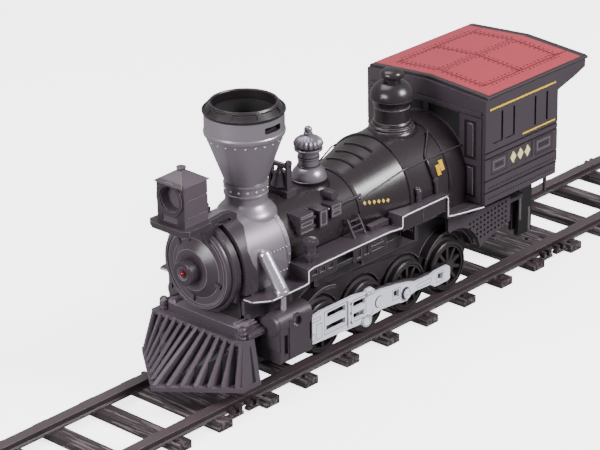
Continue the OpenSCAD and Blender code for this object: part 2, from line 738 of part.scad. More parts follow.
ring_r = smokebox_r + 1;
hood_r = smokebox_r + 2.6;
module smokebox_front() {
    color(charcoal) difference() {
        union() {
            along_y(0, -115.5, boiler_z) cylinder(r1 = ring_r - 0.8, r2 = ring_r, h = 0.8);
            along_y(0, -114.75, boiler_z) cylinder(r = ring_r, h = 3.6);
            along_y(0, -113, boiler_z) cylinder(r = smokebox_r - 0.8, h = 9.35);
            block(-smokebox_r + 0.8, smokebox_r - 0.8, -113.6, smoke_y0 - 0.05, deck_z + 0.02, boiler_z);
            hood();
            // door: a coned middle, a flat plate and a rounded outer bead
            along_y(0, -121.6, boiler_z) rotate_extrude()
                polygon([[0, 0.6], [10.4, 0.6], [11.2, 1.4], [14.8, 4], [18.2, 4], [18.4, 4.6], [18.8, 4.6],
                    [19.1, 3.6], [20.4, 3.6], [21.2, 4.8], [21.2, 8], [0, 8]]);
            along_y(0, -127, boiler_z) rotate_extrude()
                polygon([[0, 0.8], [3, 0.8], [3.4, 0], [5.6, 0], [6.1, 0.5], [6.1, 6], [0, 6]]);
        }
        along_y(0, -113, boiler_z) cylinder(r = smokebox_r - shell, h = 20);
        block(-smokebox_r + shell, smokebox_r - shell, -111.4, -90, 40, boiler_z);
        block(-6.85, 6.85, -113.45, -90, 80, 100);
        along_y(0, -130, boiler_z) cylinder(r = 1.55, h = 20);
        along_y(0, -122, boiler_z) cylinder(r = 2.1, h = 12);
        block(-20.1, 20.1, -114, -90, 30, deck_z + 0.02);
    }
}

// Casting that wraps the front of the silver drum, its rear edge waved in side view
module hood() {
    difference() {
        side_plate(-30, 30) polygon([[-109.8, deck_z + 3.4], [-101.8, deck_z + 3.4], [-101.8, 60.4],
            [-102.2, 67.4], [-104.7, 72.5], [-105.6, 78.2], [-102.6, 84.5], [-100.2, 87.3], [-100.2, 95],
            [-109.8, 95]]);
        difference() {
            block(-40, 40, -120, -90, 40, 110);
            along_y(0, -120, boiler_z) cylinder(r = hood_r, h = 30);
            block(-hood_r, hood_r, -120, -90, 40, boiler_z);
        }
        along_y(0, smoke_y0 - 0.05, boiler_z) cylinder(r = smokebox_r + 0.05, h = 20);
        block(-smokebox_r - 0.05, smokebox_r + 0.05, smoke_y0 - 0.05, -90, 40, boiler_z);
    }
}

module lamp_led() {
    color([0.8, 0.12, 0.1, 0.9]) {
        along_y(0, -126.4, boiler_z) cylinder(r = 1.5, h = 6.4);
        along_y(0, -126.4, boiler_z) sphere(r = 1.5);
        along_y(0, -120, boiler_z) cylinder(r = 1.9, h = 1);
    }
}

// ---------- headlight ----------
light_y0 = -132.7;
light_y1 = -117.6;
light_z0 = 94.6;
module headlight_bracket() {
    color(charcoal) difference() {
        union() {
            translate([0, 0, 91.6]) linear_extrude(light_z0 - 91.6)
                polygon([[-9, -136.4], [-13, -134], [-13, -119.6], [-9.6, -117.4], [9.6, -117.4],
                    [13, -119.6], [13, -134], [9, -136.4]]);
            both_sides() side_plate(8, 10.2) polygon([[-124, 91.6], [-119, 80], [-115, 78], [-100, 84],
                [-100, 92.2], [-102.4, 94], [-108, 95], [-117.6, 94], [-117.6, 91.6]]);
        }
        along_y(0, -115.55, boiler_z) cylinder(r = hood_r + 0.03, h = 15.4);
        along_y(0, -104, boiler_z) cylinder(r = smokebox_r + 0.02, h = 12);
        along_y(0, -118.05, boiler_z) cylinder(r = 21.25, h = 4);
        along_y(0, -120.3, boiler_z) cylinder(r = 19.9, h = 4);
        both_sides() side_plate(7, 11) polygon([[-114.4, 91.4], [-104, 91.4], [-104, 88.6]]);
        translate([0, stack_y, 80]) cylinder(r = 15.4, h = 20);
    }
}

module headlight_housing() {
    color(charcoal) difference() {
        union() {
            block(-9, 9, light_y0, light_y1, light_z0 + 0.02, 114.6);
            translate([0, (light_y0 + light_y1) / 2, 114.6])
                rotate([0, 0, 45]) cylinder(r1 = 13.2, r2 = 3, h = 4.6, $fn = 4);
            translate([0, (light_y0 + light_y1) / 2, 118]) cylinder(r = 1.8, h = 2.6);
            translate([0, (light_y0 + light_y1) / 2, 120.2]) cylinder(r = 2.3, h = 0.8);
            along_y(0, light_y0 - 1, 107.2) difference() {
                cylinder(r = 8.3, h = 1.4);
                translate([0, 0, -1]) cylinder(r = 6.4, h = 4);
            }
        }
        along_y(0, light_y0 - 3, 107.2) cylinder(r = 6.2, h = 8);
        block(-7.4, 7.4, -127.4, light_y1 - 1.6, light_z0 - 1, 113.6);
        for (z = [99, 107.6]) both_sides() block(8.6, 10, light_y0 + 2, light_y1 + 1, z, z + 0.7);
        block(-6, 4, light_y0 - 1, light_y0 + 0.8, light_z0 + 0.6, 98);
    }
}

module headlight_lens() {
    color([0.75, 0.75, 0.78]) difference() {
        along_y(0, -127.38, 107.2) cylinder(r = 6.3, h = 1.6);
        translate([0, -135, 107.2]) sphere(r = 8.6);
    }
}

// ---------- stack ----------
module stack() {
    color(silver) translate([0, stack_y, 0]) difference() {
        union() {
            rotate_extrude() polygon([[0, 80], [14.8, 80], [14.4, 85.4], [13.2, 87.6], [11.2, 89.6],
                [10.1, 91.6], [10.1, 94.9], [10.7, 95.1], [10.7, 96], [10.2, 96.2], [10.2, 99.8],
                [10.8, 100], [10.8, 100.9], [9.9, 101], [funnel_r - 0.6, 124.8], [funnel_r, 125.2],
                [funnel_r + 0.3, 127], [funnel_r - 0.1, 127.6], [funnel_r - 0.1, 136], [0, 136]]);
            for (i = [0:15]) rotate([0, 0, i * 22.5]) translate([10.1, 0, 98]) sphere(r = 0.6, $fn = 16);
        }
        translate([0, 0, 102]) cylinder(r1 = 4, r2 = 15.3, h = 25.001);
        translate([0, 0, 127]) cylinder(r = 15.3, h = 20);
        translate([0, 60, boiler_z]) rotate([90, 0, 0]) cylinder(r = smokebox_r + 0.05, h = 120);
        along_y(0, smoke_y1 - 2.45 - stack_y, boiler_z) cylinder(r = smokebox_r + 0.45, h = 2.5);
        rotate([0, 0, -8]) translate([funnel_r - 2.4, -4, 130.6]) cube([4, 8, 2.2]);
    }
}

// Crown ring, sloping outward from its lip and notched round the edge
module stack_rim() {
    color(boiler_black) translate([0, stack_y, 0]) difference() {
        rotate_extrude() polygon([[15.3, 136.02], [funnel_r + 0.3, 136.02], [funnel_r + 0.6, 136.6],
            [funnel_r + 0.6, 137.4], [funnel_r - 0.4, 138.4], [17, 140.2], [16.4, stack_top],
            [15.6, stack_top], [15.3, 140.6]]);
        // eight shallow bays in the slope, with a rib between each two
        difference() {
            rotate_extrude() polygon([[17.1, 142], [19.6, 140], [19.6, 138.5], [18.7, 137.6], [16.9, 139.4]]);
            for (i = [0:7]) rotate([0, 0, 22.5 + i * 45]) translate([14, -0.9, 136]) cube([8, 1.8, 8]);
        }
    }
}

// ---------- domes, bell and pipes ----------
bell_y = -59.5;
bell_pivot = 101.6;
module bell() {
    color([0.3, 0.28, 0.3]) translate([0, bell_y, 0]) {
        rotate_extrude() polygon([[0, 93.4], [1, 92.8], [3.6, 92], [4, 91.4], [4.6, 91.4],
            [4.2, 93], [3.4, 95.4], [3, 97.8], [1.6, 99.2], [1.2, 101], [0, 101]]);
        along_x(-4.6, 0, bell_pivot) cylinder(r = 1.3, h = 9.2);
        along_x(-5.8, 0, bell_pivot) cylinder(r = 0.8, h = 11.6);
    }
}

module bell_yoke() {
    color(charcoal) difference() {
        union() {
            both_sides() {
                block(4.9, 6.3, bell_y - 1.6, bell_y + 1.6, 82, 103);
                along_x(4.9, bell_y, 103) cylinder(r = 2, h = 1.4);
            }
            block(-7.6, 7.6, bell_y - 3.4, bell_y + 3.4, 80, 89.9);
        }
        along_x(-10, bell_y, bell_pivot) cylinder(r = 0.8 + run, h = 20);
        along_y(0, -80, boiler_z) cylinder(r = slim_r + 0.05, h = 60);
    }
}

dome_y = -39.2;
module steam_dome() {
    color(silver) translate([0, dome_y, 0]) difference() {
        union() {
            rotate_extrude() polygon([[0, 78], [11.4, 78], [11, 85], [9.4, 87], [8.6, 88.4], [8.6, 90], [7, 92.6],
                [5.6, 94], [5.2, 95.4], [5.2, 102.4], [7, 103.2], [7.2, 104], [6.4, 106.4], [6.9, 107.4],
                [5.8, 109.4], [3.4, 111.2], [1.4, 111.8], [1.1, 112.6], [0, 112.6]]);
            translate([0, 0, 113.6]) sphere(r = 1.5);
        }
        translate([0, 60, boiler_z]) rotate([90, 0, 0]) cylinder(r = slim_r + 0.05, h = 120);
    }
}

sand_y = 22.5;
module sand_dome() {
    color(boiler_black) translate([0, sand_y, 0]) difference() {
        rotate_extrude() polygon([[0, 84], [12.6, 84], [12.6, 95], [11.8, 96.4], [11.2, 96.8], [11.2, 98], [10.2, 98.6],
            [10, 99.8], [9.3, 100.4], [9, 104], [9.2, 107.6], [8.8, 107.8], [8.8, 108.5], [9.4, 108.7],
            [9.8, 110.6], [10.8, 111.8], [11.2, 112.3], [11.2, 113.2], [10.9, 114.8], [10.3, 116.4], [9.4, 117.8],
            [8.2, 119.1], [6.8, 120.1], [5, 120.8], [0, 121.2]]);
        translate([0, 0, 114]) cylinder(r = 4.2, h = 10);
        translate([0, 60, big_z]) rotate([90, 0, 0]) cylinder(r = big_r + 0.05, h = 120);
    }
}

// Sprung knob on top of the rear dome
module whistle_button() {
    color(boiler_black) translate([0, sand_y, 0]) {
        translate([0, 0, 117.4]) cylinder(r = 4, h = 6);
        rotate_extrude() polygon([[0, 122.6], [5.2, 122.6], [6, 123.4], [6, 125], [4.6, 126.6], [2, 127.2],
            [0, 127.2]]);
    }
}

module boiler_core(grow) {
    slim = slim_r + grow;
    big = big_r + grow;
    along_y(0, smoke_y1 + 0.05, boiler_z) cylinder(r = slim, h = taper_y0 - smoke_y1);
    taper(grow);
    along_y(0, taper_y1, big_z) cylinder(r = big, h = cab_y0 - taper_y1);
}

module taper(grow) {
    hull() {
        along_y(0, taper_y0, boiler_z) cylinder(r = slim_r + grow, h = 0.1, $fn = 64);
        along_y(0, taper_y1 - 0.05, big_z) cylinder(r = big_r + grow, h = 0.1, $fn = 64);
    }
}

module boiler() {
    color(boiler_black) difference() {
        union() {
            boiler_core(0);
            along_y(0, 34, big_z) cylinder(r = big_r + 0.5, h = 2);
            along_y(0, taper_y1 - 1, big_z) cylinder(r = big_r + 0.5, h = 2);
            along_y(0, taper_y0 - 1.4, boiler_z) cylinder(r = slim_r + 0.5, h = 2);
            // firebox sides, flat below the barrel's axis
            block(-big_r, big_r, taper_y1, cab_y0 - 0.02, deck_z + 0.02, big_z);
            taper_ribs();
        }
        difference() {
            boiler_core(-shell);
            block(-40, 40, -90, smoke_y1 + 2, 30, 110);
            block(-40, 40, cab_y0 - 2, cab_y0 + 2, 30, 110);
        }
        block(-20.1, 20.1, -100, taper_y1, 30, deck_z + 0.02);
        block(-big_r + shell, big_r - shell, taper_y1 + 2, cab_y0 - 2.2, deck_z - 2, big_z);
        block(-40, 40, -100, 60, 20, deck_z + 0.02);
        translate([0, sand_y, 80]) cylinder(r = 12.65, h = 20);
    }
}

// Hoops round the crown of the taper
module taper_ribs() {
    for (k = [0.28, 0.5, 0.72]) {
        y = taper_y0 + k * (taper_y1 - taper_y0);
        z = boiler_z + k * (big_z - boiler_z);
        intersection() {
            along_y(0, y - 0.7, z) cylinder(r = slim_r + k * (big_r - slim_r) + 0.5, h = 1.4);
            block(-9, 9, y - 2, y + 2, 80, 110);
        }
    }
}

// Small castings on the boiler: air pumps, filler stacks, ladders, pipes and handrails
module boiler_fittings() {
    color(boiler_black) both_sides() {
        // two-disc filler beside the slim boiler
        translate([28.6, -69.3, 62.82]) {
            cylinder(r = 2.4, h = 11.6);
            translate([0, 0, 2.6]) cylinder(r = 3.9, h = 1.8);
            translate([0, 0, 9.2]) cylinder(r = 3.9, h = 1.8);
        }
        // ladder leaning on the boiler
        for (y = [-36.8, -28.8]) cross_plate(y, y + 0.9)
            polygon([[26, 62.82], [27.3, 62.82], [22.4, 71.4], [21.1, 71.4]]);
        for (k = [0.25, 0.52, 0.8])
            along_y(26.6 - 4.9 * k, -36.8, 62.8 + 8.6 * k) cylinder(r = 0.5, h = 8.9, $fn = 16);
        block(23.9, 27.6, -25, -12, 62.82, 65.2);
        difference() {
            union() {
                // pump body under the dome
                block(12, 22, -69.5, -59.8, 74, 83.2);
                block(12, 22.6, -70, -59.3, 80, 81.2);
                block(12, 22.6, -70, -59.3, 75.6, 76.8);
                block(12, 22, -55.8, -49.9, 73, 82);
                block(12, 21.6, -47, -39.4, 75, 82);
                along_x(12, -41, 84.4) cylinder(r = 2.4, h = 6.4);
                along_y(20.2, -48.4, 80) cylinder(r = 0.8, h = 24);
            }
            along_y(0, smoke_y1 - 1, boiler_z) cylinder(r = slim_r + 0.05, h = taper_y0 - smoke_y1 - 0.4);
            along_y(0, taper_y0 - 1.5, boiler_z) cylinder(r = slim_r + 0.55, h = 3);
        }
        // pipes, hanger and valves against the firebox
        along_x(big_r + 0.02, 23, 74.6) cylinder(r = 1.6, h = 1.2);
        translate([big_r + 1.02, 23, 67.6]) cylinder(r = 1, h = 7);
        translate([big_r + 1.32, 9.4, 67.6]) cylinder(r = 1.3, h = 6);
        translate([big_r + 1.32, 9.4, 73]) sphere(r = 1.5, $fn = 24);
    }
}

// Bright pipes from the smokebox down through the footplate to the cylinders
module steam_pipes() {
    color(silver) both_sides() difference() {
        union() {
            hull() {
                translate([22.4, -94.8, 72.4]) sphere(r = 3.3, $fn = 32);
                translate([31.4, -93.4, 57.4]) sphere(r = 3.3, $fn = 32);
            }
            translate([31.6, -93.4, 55.62]) cylinder(r = 3.6, h = 2);
            translate([31.6, -92.4, 44]) cylinder(r = 1.5, h = 10.28);
        }
        along_y(0, -112, boiler_z) cylinder(r = smokebox_r + 0.06, h = 34);
        block(0, smokebox_r + 0.06, -112, -78, 50, boiler_z);
        along_y(cyl_x, cyl_y0 - 1, cyl_z) cylinder(r = cyl_r + 0.05, h = 30);
        block(20, 40, -104, -80, 54.28, 55.62);
    }
}

// ---------- cab ----------
side_t = 2;
module cab() {
    color(cab_grey) difference() {
        union() {
            both_sides() block(cab_x - side_t, cab_x, cab_y0, cab_y1, cab_z0, eaves_z - 0.6);
            // low skirt ends a little short of the rear edge, and a step runs round above it
            cross_plate(cab_y0, cab_y0 + side_t)
                polygon([[-cab_x, cab_z0], [cab_x, cab_z0], [cab_x, eaves_z - 0.6], [0, eaves_z + 2],
                    [-cab_x, eaves_z - 0.6]]);
            both_sides() block(22.8, 36.7, cab_y0 - 0.9, cab_y0, cab_z0 + 0.5, 102);
            block(-36.7, 36.7, cab_y0 - 1.5, cab_y0, 103.4, 105);
            both_sides() block(cab_x - 1.4, cab_x, 97.4, 98.8, 48, cab_z0 + 0.5);
            both_sides() side_plate(cab_x - 1.4, cab_x)
                polygon([[cab_y1, 101], [122, 105], [129.5, 107.6], [129.5, eaves_z - 0.6],
                    [cab_y1, eaves_z - 0.6]]);
        }
        // front windows beside the boiler
        difference() {
            block(-22.8, 22.8, cab_y0 - 3, cab_y0 + 4, 78, 101.8);
            along_y(0, cab_y0 - 5, big_z) cylinder(r = big_r + 1, h = 20);
            block(-1.6, 1.6, cab_y0 - 5, cab_y0 + 5, 70, 110);
        }
        both_sides() {
            for (z = [[58.5, 76], [79, 99.6]]) block(26, 33.6, cab_y0 - 1.6, cab_y0 - 0.4, z[0], z[1]);
            // window slots and panel grooves in the sides
            for (y = [61.5, 71, 88.3, 97.9]) block(cab_x - 0.8, cab_x + 1, y - 0.7, y + 0.7, 87.3, 103);
            for (y = [61.5, 71]) block(cab_x - 0.8, cab_x + 1, y - 7, y, 87, 87.7);
            for (z = [62, 68.3, 80.2, 83.3]) block(cab_x - 0.5, cab_x + 1, cab_y0 - 1, cab_y1 + 1, z - 0.3, z + 0.3);
            block(cab_x - 3, cab_x + 1, 106.2, cab_y1 + 1, cab_z0 - 1, 61);
            // shallow field behind the running number
            block(cab_x - 0.4, cab_x + 1, 68, 86.4, 70.6, 79.4);
        }
        block(-30.9, 30.9, cab_y0 + 1.9, cab_y0 + 3, 50, 80);
        along_y(0, cab_y0 - 3, big_z) cylinder(r = big_r + 0.05, h = 3);
        block(-big_r - 0.05, big_r + 0.05, cab_y0 - 3, cab_y0, 50, big_z);
    }
}

module roof() {
    color(roof_red) difference() {
        union() {
            cross_plate(cab_y0 + 1.6, roof_y1) polygon([[-cab_x, eaves_z - 0.55], [-cab_x, eaves_z + 0.6],
                [-37.2, eaves_z + 1.2], [0, eaves_z + 3.8], [37.2, eaves_z + 1.2], [cab_x, eaves_z + 0.6],
                [cab_x, eaves_z - 0.55], [0, eaves_z + 2.05]]);
        }
        // grooves that divide the sheet into four panels and a border
        for (y = [60, 89.6, 119.4]) for (s = [-1, 1])
            translate([0, y, eaves_z + 3.8]) rotate([0, s * atan(2.6 / 37.2), 0])
                block(s > 0 ? 0 : -28, s > 0 ? 28 : 0, -0.35, 0.35, -0.5, 0.6);
        for (s = [-1, 1])
            translate([0, 0, eaves_z + 3.8]) rotate([0, s * atan(2.6 / 37.2), 0])
                block(s * 28 - 0.35, s * 28 + 0.35, 60, roof_y1 - 3, -0.5, 0.6);
    }
}

// ---------- battery compartment ----------
box_y0 = 50.6;
box_y1 = 105.4;
cell_r = 7.15;
cell_len = 50;
cell_z = 65.2;
cell_xs = [-22.8, -7.6, 7.6, 22.8];
module battery_box() {
    color(boiler_black) difference() {
        union() {
            block(-32.6, 32.6, box_y0, box_y1, cab_z0, 75);
            both_sides() block(32.6, cab_x - side_t - 0.02, 60, 96, cab_z0, 57.5);
        }
        block(-31, 31, box_y0 + 1.6, box_y1 - 1.6, 57.8, 73.4);
        // mouth for the lid, with a groove along each side
        block(-30.4, 30.4, box_y0 + 1.6, box_y1 + 1, cab_z0 - 1, 57.81);
        block(-31.4, 31.4, box_y0 + 1.6, box_y1 + 1, 56.3, 57.81);
        block(-6, 6, 101.2, 104.2, 74.2, 76);
    }
}

module battery_cells() {
    for (i = [0:3]) {
        flip = i % 2 == 0 ? 0 : 1;
        y0 = (box_y0 + box_y1 - cell_len) / 2;
        color([0.2, 0.35, 0.6]) along_y(cell_xs[i], y0, cell_z) {
            translate([0, 0, flip * 1.3]) cylinder(r = cell_r, h = cell_len - 1.3);
            translate([0, 0, flip ? 0 : cell_len - 1.4]) cylinder(r = 2.7, h = 1.4);
        }
    }
}

// Sprung steel strips at both ends of the cells
module battery_contacts() {
    color([0.75, 0.75, 0.78]) for (y = [box_y0 + 1.65, box_y1 - 2.05], s = [-1, 1])
        block(s * 15.2 - 13, s * 15.2 + 13, y, y + 0.4, 59, 71.4);
}

// Lid under the cab that slides off rearwards
module battery_cover() {
    color(boiler_black) {
        block(-31.2, 31.2, box_y0 + 1.8, box_y1 + 1.4, 56.4, 57.7);
        block(-30.2, 30.2, box_y0 + 1.8, box_y1 + 1.4, cab_z0 + 0.2, 56.5);
        for (i = [0:4]) block(-8, 8, 92 + i * 2, 93 + i * 2, cab_z0 - 0.4, cab_z0 + 0.3);
    }
}

module circuit_board() {
    color([0.1, 0.4, 0.22]) {
        block(-17, 17, -4, 40, 78, 79.6);
        block(-8, 4, 2, 14, 79.6, 82);
        block(6, 12, 20, 28, 79.6, 81.6);
        for (y = [18, 30]) translate([-10, y, 79.6]) cylinder(r = 3.2, h = 6);
        for (x = [-14, 14]) block(x - 1, x + 1, 34, 38, 76, 78);
    }
}

// Knob that slides in a groove across the top of the battery box
module power_switch() {
    color(boiler_black) {
        block(-5.7, -1.3, 101.4, 104, 74.3, 75.6);
        block(-4.7, -2.3, 101.9, 103.5, 75.5, 78);
    }
}

module speaker() {
    color([0.15, 0.15, 0.15]) translate([0, 26, 0]) {
        translate([0, 0, deck_z + 0.1]) difference() {
            cylinder(r = 14, h = 3);
            translate([0, 0, -1]) cylinder(r = 12, h = 3);
        }
        translate([0, 0, deck_z + 3.1]) cylinder(r = 9, h = 4);
    }
}

// ---------- rear coupling ----------
module drawbar() {
    color(charcoal) difference() {
        union() {
            block(-3, 3, hinge_y, 127, 25.6, 29.8);
            translate([0, hinge_y, 25.6]) cylinder(r = 4, h = 4.2);
            translate([0, 127, 25.6]) cylinder(r = 5, h = 4.2);
            translate([0, 127, 29.8]) cylinder(r = 1.8, h = 6.8);
        }
        translate([0, hinge_y, 25]) cylinder(r = 1.2 + run, h = 6);
    }
}

track_middle();
track_front();
track_rear();
chassis_frame();
wheel_arches();
axle_bushes();
keeper_plate();
screws();
gear_case();
motor();
motor_pinion();
idler_gear();
pivot_pins();
axle_gear();
wheels_1();
wheels_2();
wheels_3();
wheels_4();
axle_1();
axle_2();
axle_3();
axle_4();
side_rod_left();
inner_rod_left();
side_rod_right();
inner_rod_right();
crosshead_guides();
cylinders();
pilot();
buffer_beam();
footplate();
side_panels();
perforated_plates();
smokebox();
smokebox_front();
lamp_led();
headlight_bracket();
headlight_housing();
headlight_lens();
stack();
stack_rim();
bell();
bell_yoke();
steam_dome();
boiler();
boiler_fittings();
steam_pipes();
sand_dome();
whistle_button();
cab();
roof();
battery_box();
battery_cells();
battery_contacts();
battery_cover();
power_switch();
circuit_board();
speaker();
drawbar();
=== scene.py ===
import bpy
import math
import random
from mathutils import Matrix, Vector


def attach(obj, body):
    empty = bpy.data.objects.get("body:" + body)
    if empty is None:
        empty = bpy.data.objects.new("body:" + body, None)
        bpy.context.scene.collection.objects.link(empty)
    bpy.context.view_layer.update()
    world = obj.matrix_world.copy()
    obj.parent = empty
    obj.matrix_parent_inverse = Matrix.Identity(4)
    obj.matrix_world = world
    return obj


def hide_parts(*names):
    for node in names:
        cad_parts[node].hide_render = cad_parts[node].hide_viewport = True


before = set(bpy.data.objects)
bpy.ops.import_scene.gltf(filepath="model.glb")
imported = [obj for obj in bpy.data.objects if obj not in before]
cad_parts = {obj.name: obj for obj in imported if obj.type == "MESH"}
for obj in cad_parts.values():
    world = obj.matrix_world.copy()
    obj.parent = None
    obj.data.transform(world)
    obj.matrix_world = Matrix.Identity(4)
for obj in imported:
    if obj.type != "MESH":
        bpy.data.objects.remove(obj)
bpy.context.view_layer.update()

# ---------- Studio ----------
# The engine is seen from ahead, on its left side and from a little above, with a long lens.
# It stands on a plain pale floor under two large soft lights and an even white surround.
camera = bpy.data.objects.new("camera", bpy.data.cameras.new("camera"))
bpy.context.scene.collection.objects.link(camera)
camera.matrix_world = Matrix(((0.73568, -0.25934, 0.625715, 0.8053),
                              (0.677125, 0.304287, -0.67001, -0.9084),
                              (-0.016636, 0.916599, 0.399463, 0.5796),
                              (0, 0, 0, 1)))
camera.data.sensor_width = 36
camera.data.lens = 158.85
camera.data.clip_start = 0.05
bpy.context.scene.camera = camera


def soft_light(name, size, watts, place, aim, tint=(1, 1, 1)):
    lamp = bpy.data.objects.new(name, bpy.data.lights.new(name, 'AREA'))
    lamp.data.shape = 'RECTANGLE'
    lamp.data.size, lamp.data.size_y = size
    lamp.data.energy = watts
    lamp.data.color = tint
    lamp.location = place
    lamp.rotation_euler = (Vector(aim) - Vector(place)).to_track_quat('-Z', 'Y').to_euler()
    bpy.context.scene.collection.objects.link(lamp)


soft_light("key_light", (0.42, 0.36), 22, (0.85, 0.36, 0.78), (0.02, 0, 0.08))
soft_light("front_light", (0.55, 0.5), 20, (-0.05, -1.2, 0.5), (0, -0.1, 0.07))
soft_light("top_light", (0.7, 0.7), 8, (-0.4, -0.1, 1.1), (0, 0, 0.05))

surround = bpy.data.worlds.new("surround")
surround.use_nodes = True
surround.node_tree.nodes["Background"].inputs["Color"].default_value = (1, 1, 1, 1)
surround.node_tree.nodes["Background"].inputs["Strength"].default_value = 0.42
bpy.context.scene.world = surround

bpy.ops.object.select_all(action='DESELECT')
bpy.ops.mesh.primitive_plane_add(size=8, location=(0, 0, 0))
floor = bpy.context.object
floor.name = "floor"
floor_paper = bpy.data.materials.new("floor_paper")
floor_paper.use_nodes = True
floor_paper.node_tree.nodes["Principled BSDF"].inputs["Base Color"].default_value = (0.95, 0.95, 0.95, 1)
floor_paper.node_tree.nodes["Principled BSDF"].inputs["Roughness"].default_value = 0.9
floor_paper.node_tree.nodes["Principled BSDF"].inputs["Emission Color"].default_value = (1, 1, 1, 1)
floor_paper.node_tree.nodes["Principled BSDF"].inputs["Emission Strength"].default_value = 3.0
bpy.ops.object.select_all(action='DESELECT')
bpy.ops.mesh.primitive_cylinder_add(vertices=96, radius=3.9, depth=6, end_fill_type='NOTHING', location=(0, 0, 3))
backdrop = bpy.context.object
backdrop.name = "backdrop"
for paper in (floor, backdrop):
    paper.data.materials.append(floor_paper)
    paper.visible_diffuse = False
    paper.visible_glossy = False
backdrop.visible_shadow = False

# ---------- Track ----------
# Three snap-together lengths of injection moulded plastic, ties and rails in one piece.
# The ties carry a moulded wood grain, and the rail heads and the bevels of the track are painted lighter, a painted
# highlight.
mm = 0.001


class Signal:
    """One socket of a material, so that shader maths can be written as an expression."""

    def __init__(self, finish, socket):
        self.finish, self.socket = finish, socket

    def maths(self, operation, first, second):
        return self.finish.add('ShaderNodeMath', {"operation": operation}, {0: first, 1: second})

    def __add__(self, other):
        return self.maths('ADD', self, other)

    def __sub__(self, other):
        return self.maths('SUBTRACT', self, other)

    def __rsub__(self, other):
        return self.maths('SUBTRACT', other, self)

    def __mul__(self, other):
        return self.maths('MULTIPLY', self, other)

    def __gt__(self, other):
        return self.maths('GREATER_THAN', self, other)

    def __lt__(self, other):
        return self.maths('LESS_THAN', self, other)

    def __abs__(self):
        return self.maths('ABSOLUTE', self, 0.0)

    def between(self, low, high):
        return (self > low * mm) * (self < high * mm)

    __radd__, __rmul__ = __add__, __mul__


class Finish:
    """A procedural material, built up node by node."""

    def __init__(self, name, metallic=0.0, coat=0.0):
        self.material = bpy.data.materials.new(name)
        self.material.use_nodes = True
        self.nodes = self.material.node_tree.nodes
        self.shader = self.nodes["Principled BSDF"]
        self.shader.inputs["Metallic"].default_value = metallic
        self.shader.inputs["Coat Weight"].default_value = coat
        self.shader.inputs["Coat Roughness"].default_value = 0.25
        self.place = self.add('ShaderNodeTexCoord', output="Object")
        self.x, self.y, self.z = (self.add('ShaderNodeSeparateXYZ', {}, {0: self.place}, way)
                                  for way in range(3))

    def add(self, kind, settings=None, sockets=None, output=0):
        node = self.nodes.new(kind)
        for name, value in (settings or {}).items():
            if name == "stops":
                for stop in range(2, len(value)):
                    node.color_ramp.elements.new(0.5)
                for element, (position, colour) in zip(node.color_ramp.elements, value):
                    element.position, element.color = position, colour
            else:
                setattr(node, name, value)
        for name, value in (sockets or {}).items():
            if isinstance(value, Signal):
                self.material.node_tree.links.new(value.socket, node.inputs[name])
            else:
                node.inputs[name].default_value = value
        return Signal(self, node.outputs[output])

    def feed(self, name, value):
        if isinstance(value, Signal):
            self.material.node_tree.links.new(value.socket, self.shader.inputs[name])
        else:
            self.shader.inputs[name].default_value = value

    def noise(self, scale, detail=2.0, stretch=None):
        place = self.place
        if stretch:
            place = self.add('ShaderNodeMapping', {}, {"Vector": place, "Scale": stretch})
        return self.add('ShaderNodeTexNoise', {},
                        {"Vector": place, "Scale": scale, "Detail": detail})

    def blend(self, mask, first, second):
        return self.add('ShaderNodeMix', {"data_type": 'RGBA'}, {0: mask, 6: first, 7: second}, 2)

    def coloured(self, mask, colour):
        """Lays another colour over the one so far, where the mask is 1."""
        self.colour = self.blend(mask, self.colour, paint(colour))
        self.feed("Base Color", self.colour)

    def framed(self, along, up, width=0.35):
        """1 on the outline of a rectangle on the piece's side, from its limits in millimetres."""
        outer = self.y.between(*along) * self.z.between(*up)
        return outer - self.y.between(along[0] + width, along[1] - width) * self.z.between(up[0] + width, up[1] - width)

    def ringed(self, along, up, inner, outer):
        """1 on a ring about a point of the piece's side."""
        away = self.y - along * mm
        rise = self.z - up * mm
        square = away * away + rise * rise
        return (square > (inner * mm) ** 2) * (square < (outer * mm) ** 2)

    def relief(self, height, depth, under=None):
        sockets = {"Height": height, "Distance": depth, "Strength": 1.0}
        if under:
            sockets["Normal"] = under
        return self.add('ShaderNodeBump', {}, sockets)


def paint(text):
    """A colour as a maker's chart gives it, turned to the linear values that a shader takes."""
    parts = [int(text[place:place + 2], 16) / 255 for place in (0, 2, 4)]
    return tuple(p / 12.92 if p <= 0.04045 else ((p + 0.055) / 1.055) ** 2.4 for p in parts) + (1,)


def plastic(name, colour, sheen, grain=0.012, mottle=0.18, coat=0.0, metallic=0.0):
    """Moulded plastic: a fine spark-eroded grain, faint flow marks and finger wear in its gloss."""
    finish = Finish(name, metallic, coat)
    flow = finish.noise(38, 3)
    speck = finish.noise(1900, 2)
    dark = paint(colour)
    pale = tuple(min(1, c * (1 + 2.2 * mottle) + 0.001) for c in dark[:3]) + (1,)
    finish.colour = finish.blend(flow * 0.7 + speck * 0.3, dark, pale)
    finish.feed("Base Color", finish.colour)
    finish.feed("Roughness", flow * 0.16 + speck * 0.02 + (sheen - 0.09))
    finish.feed("Normal", finish.relief(speck, grain * mm))
    return finish


def pick(piece):
    bpy.ops.object.select_all(action='DESELECT')
    piece.select_set(True)
    bpy.context.view_layer.objects.active = piece


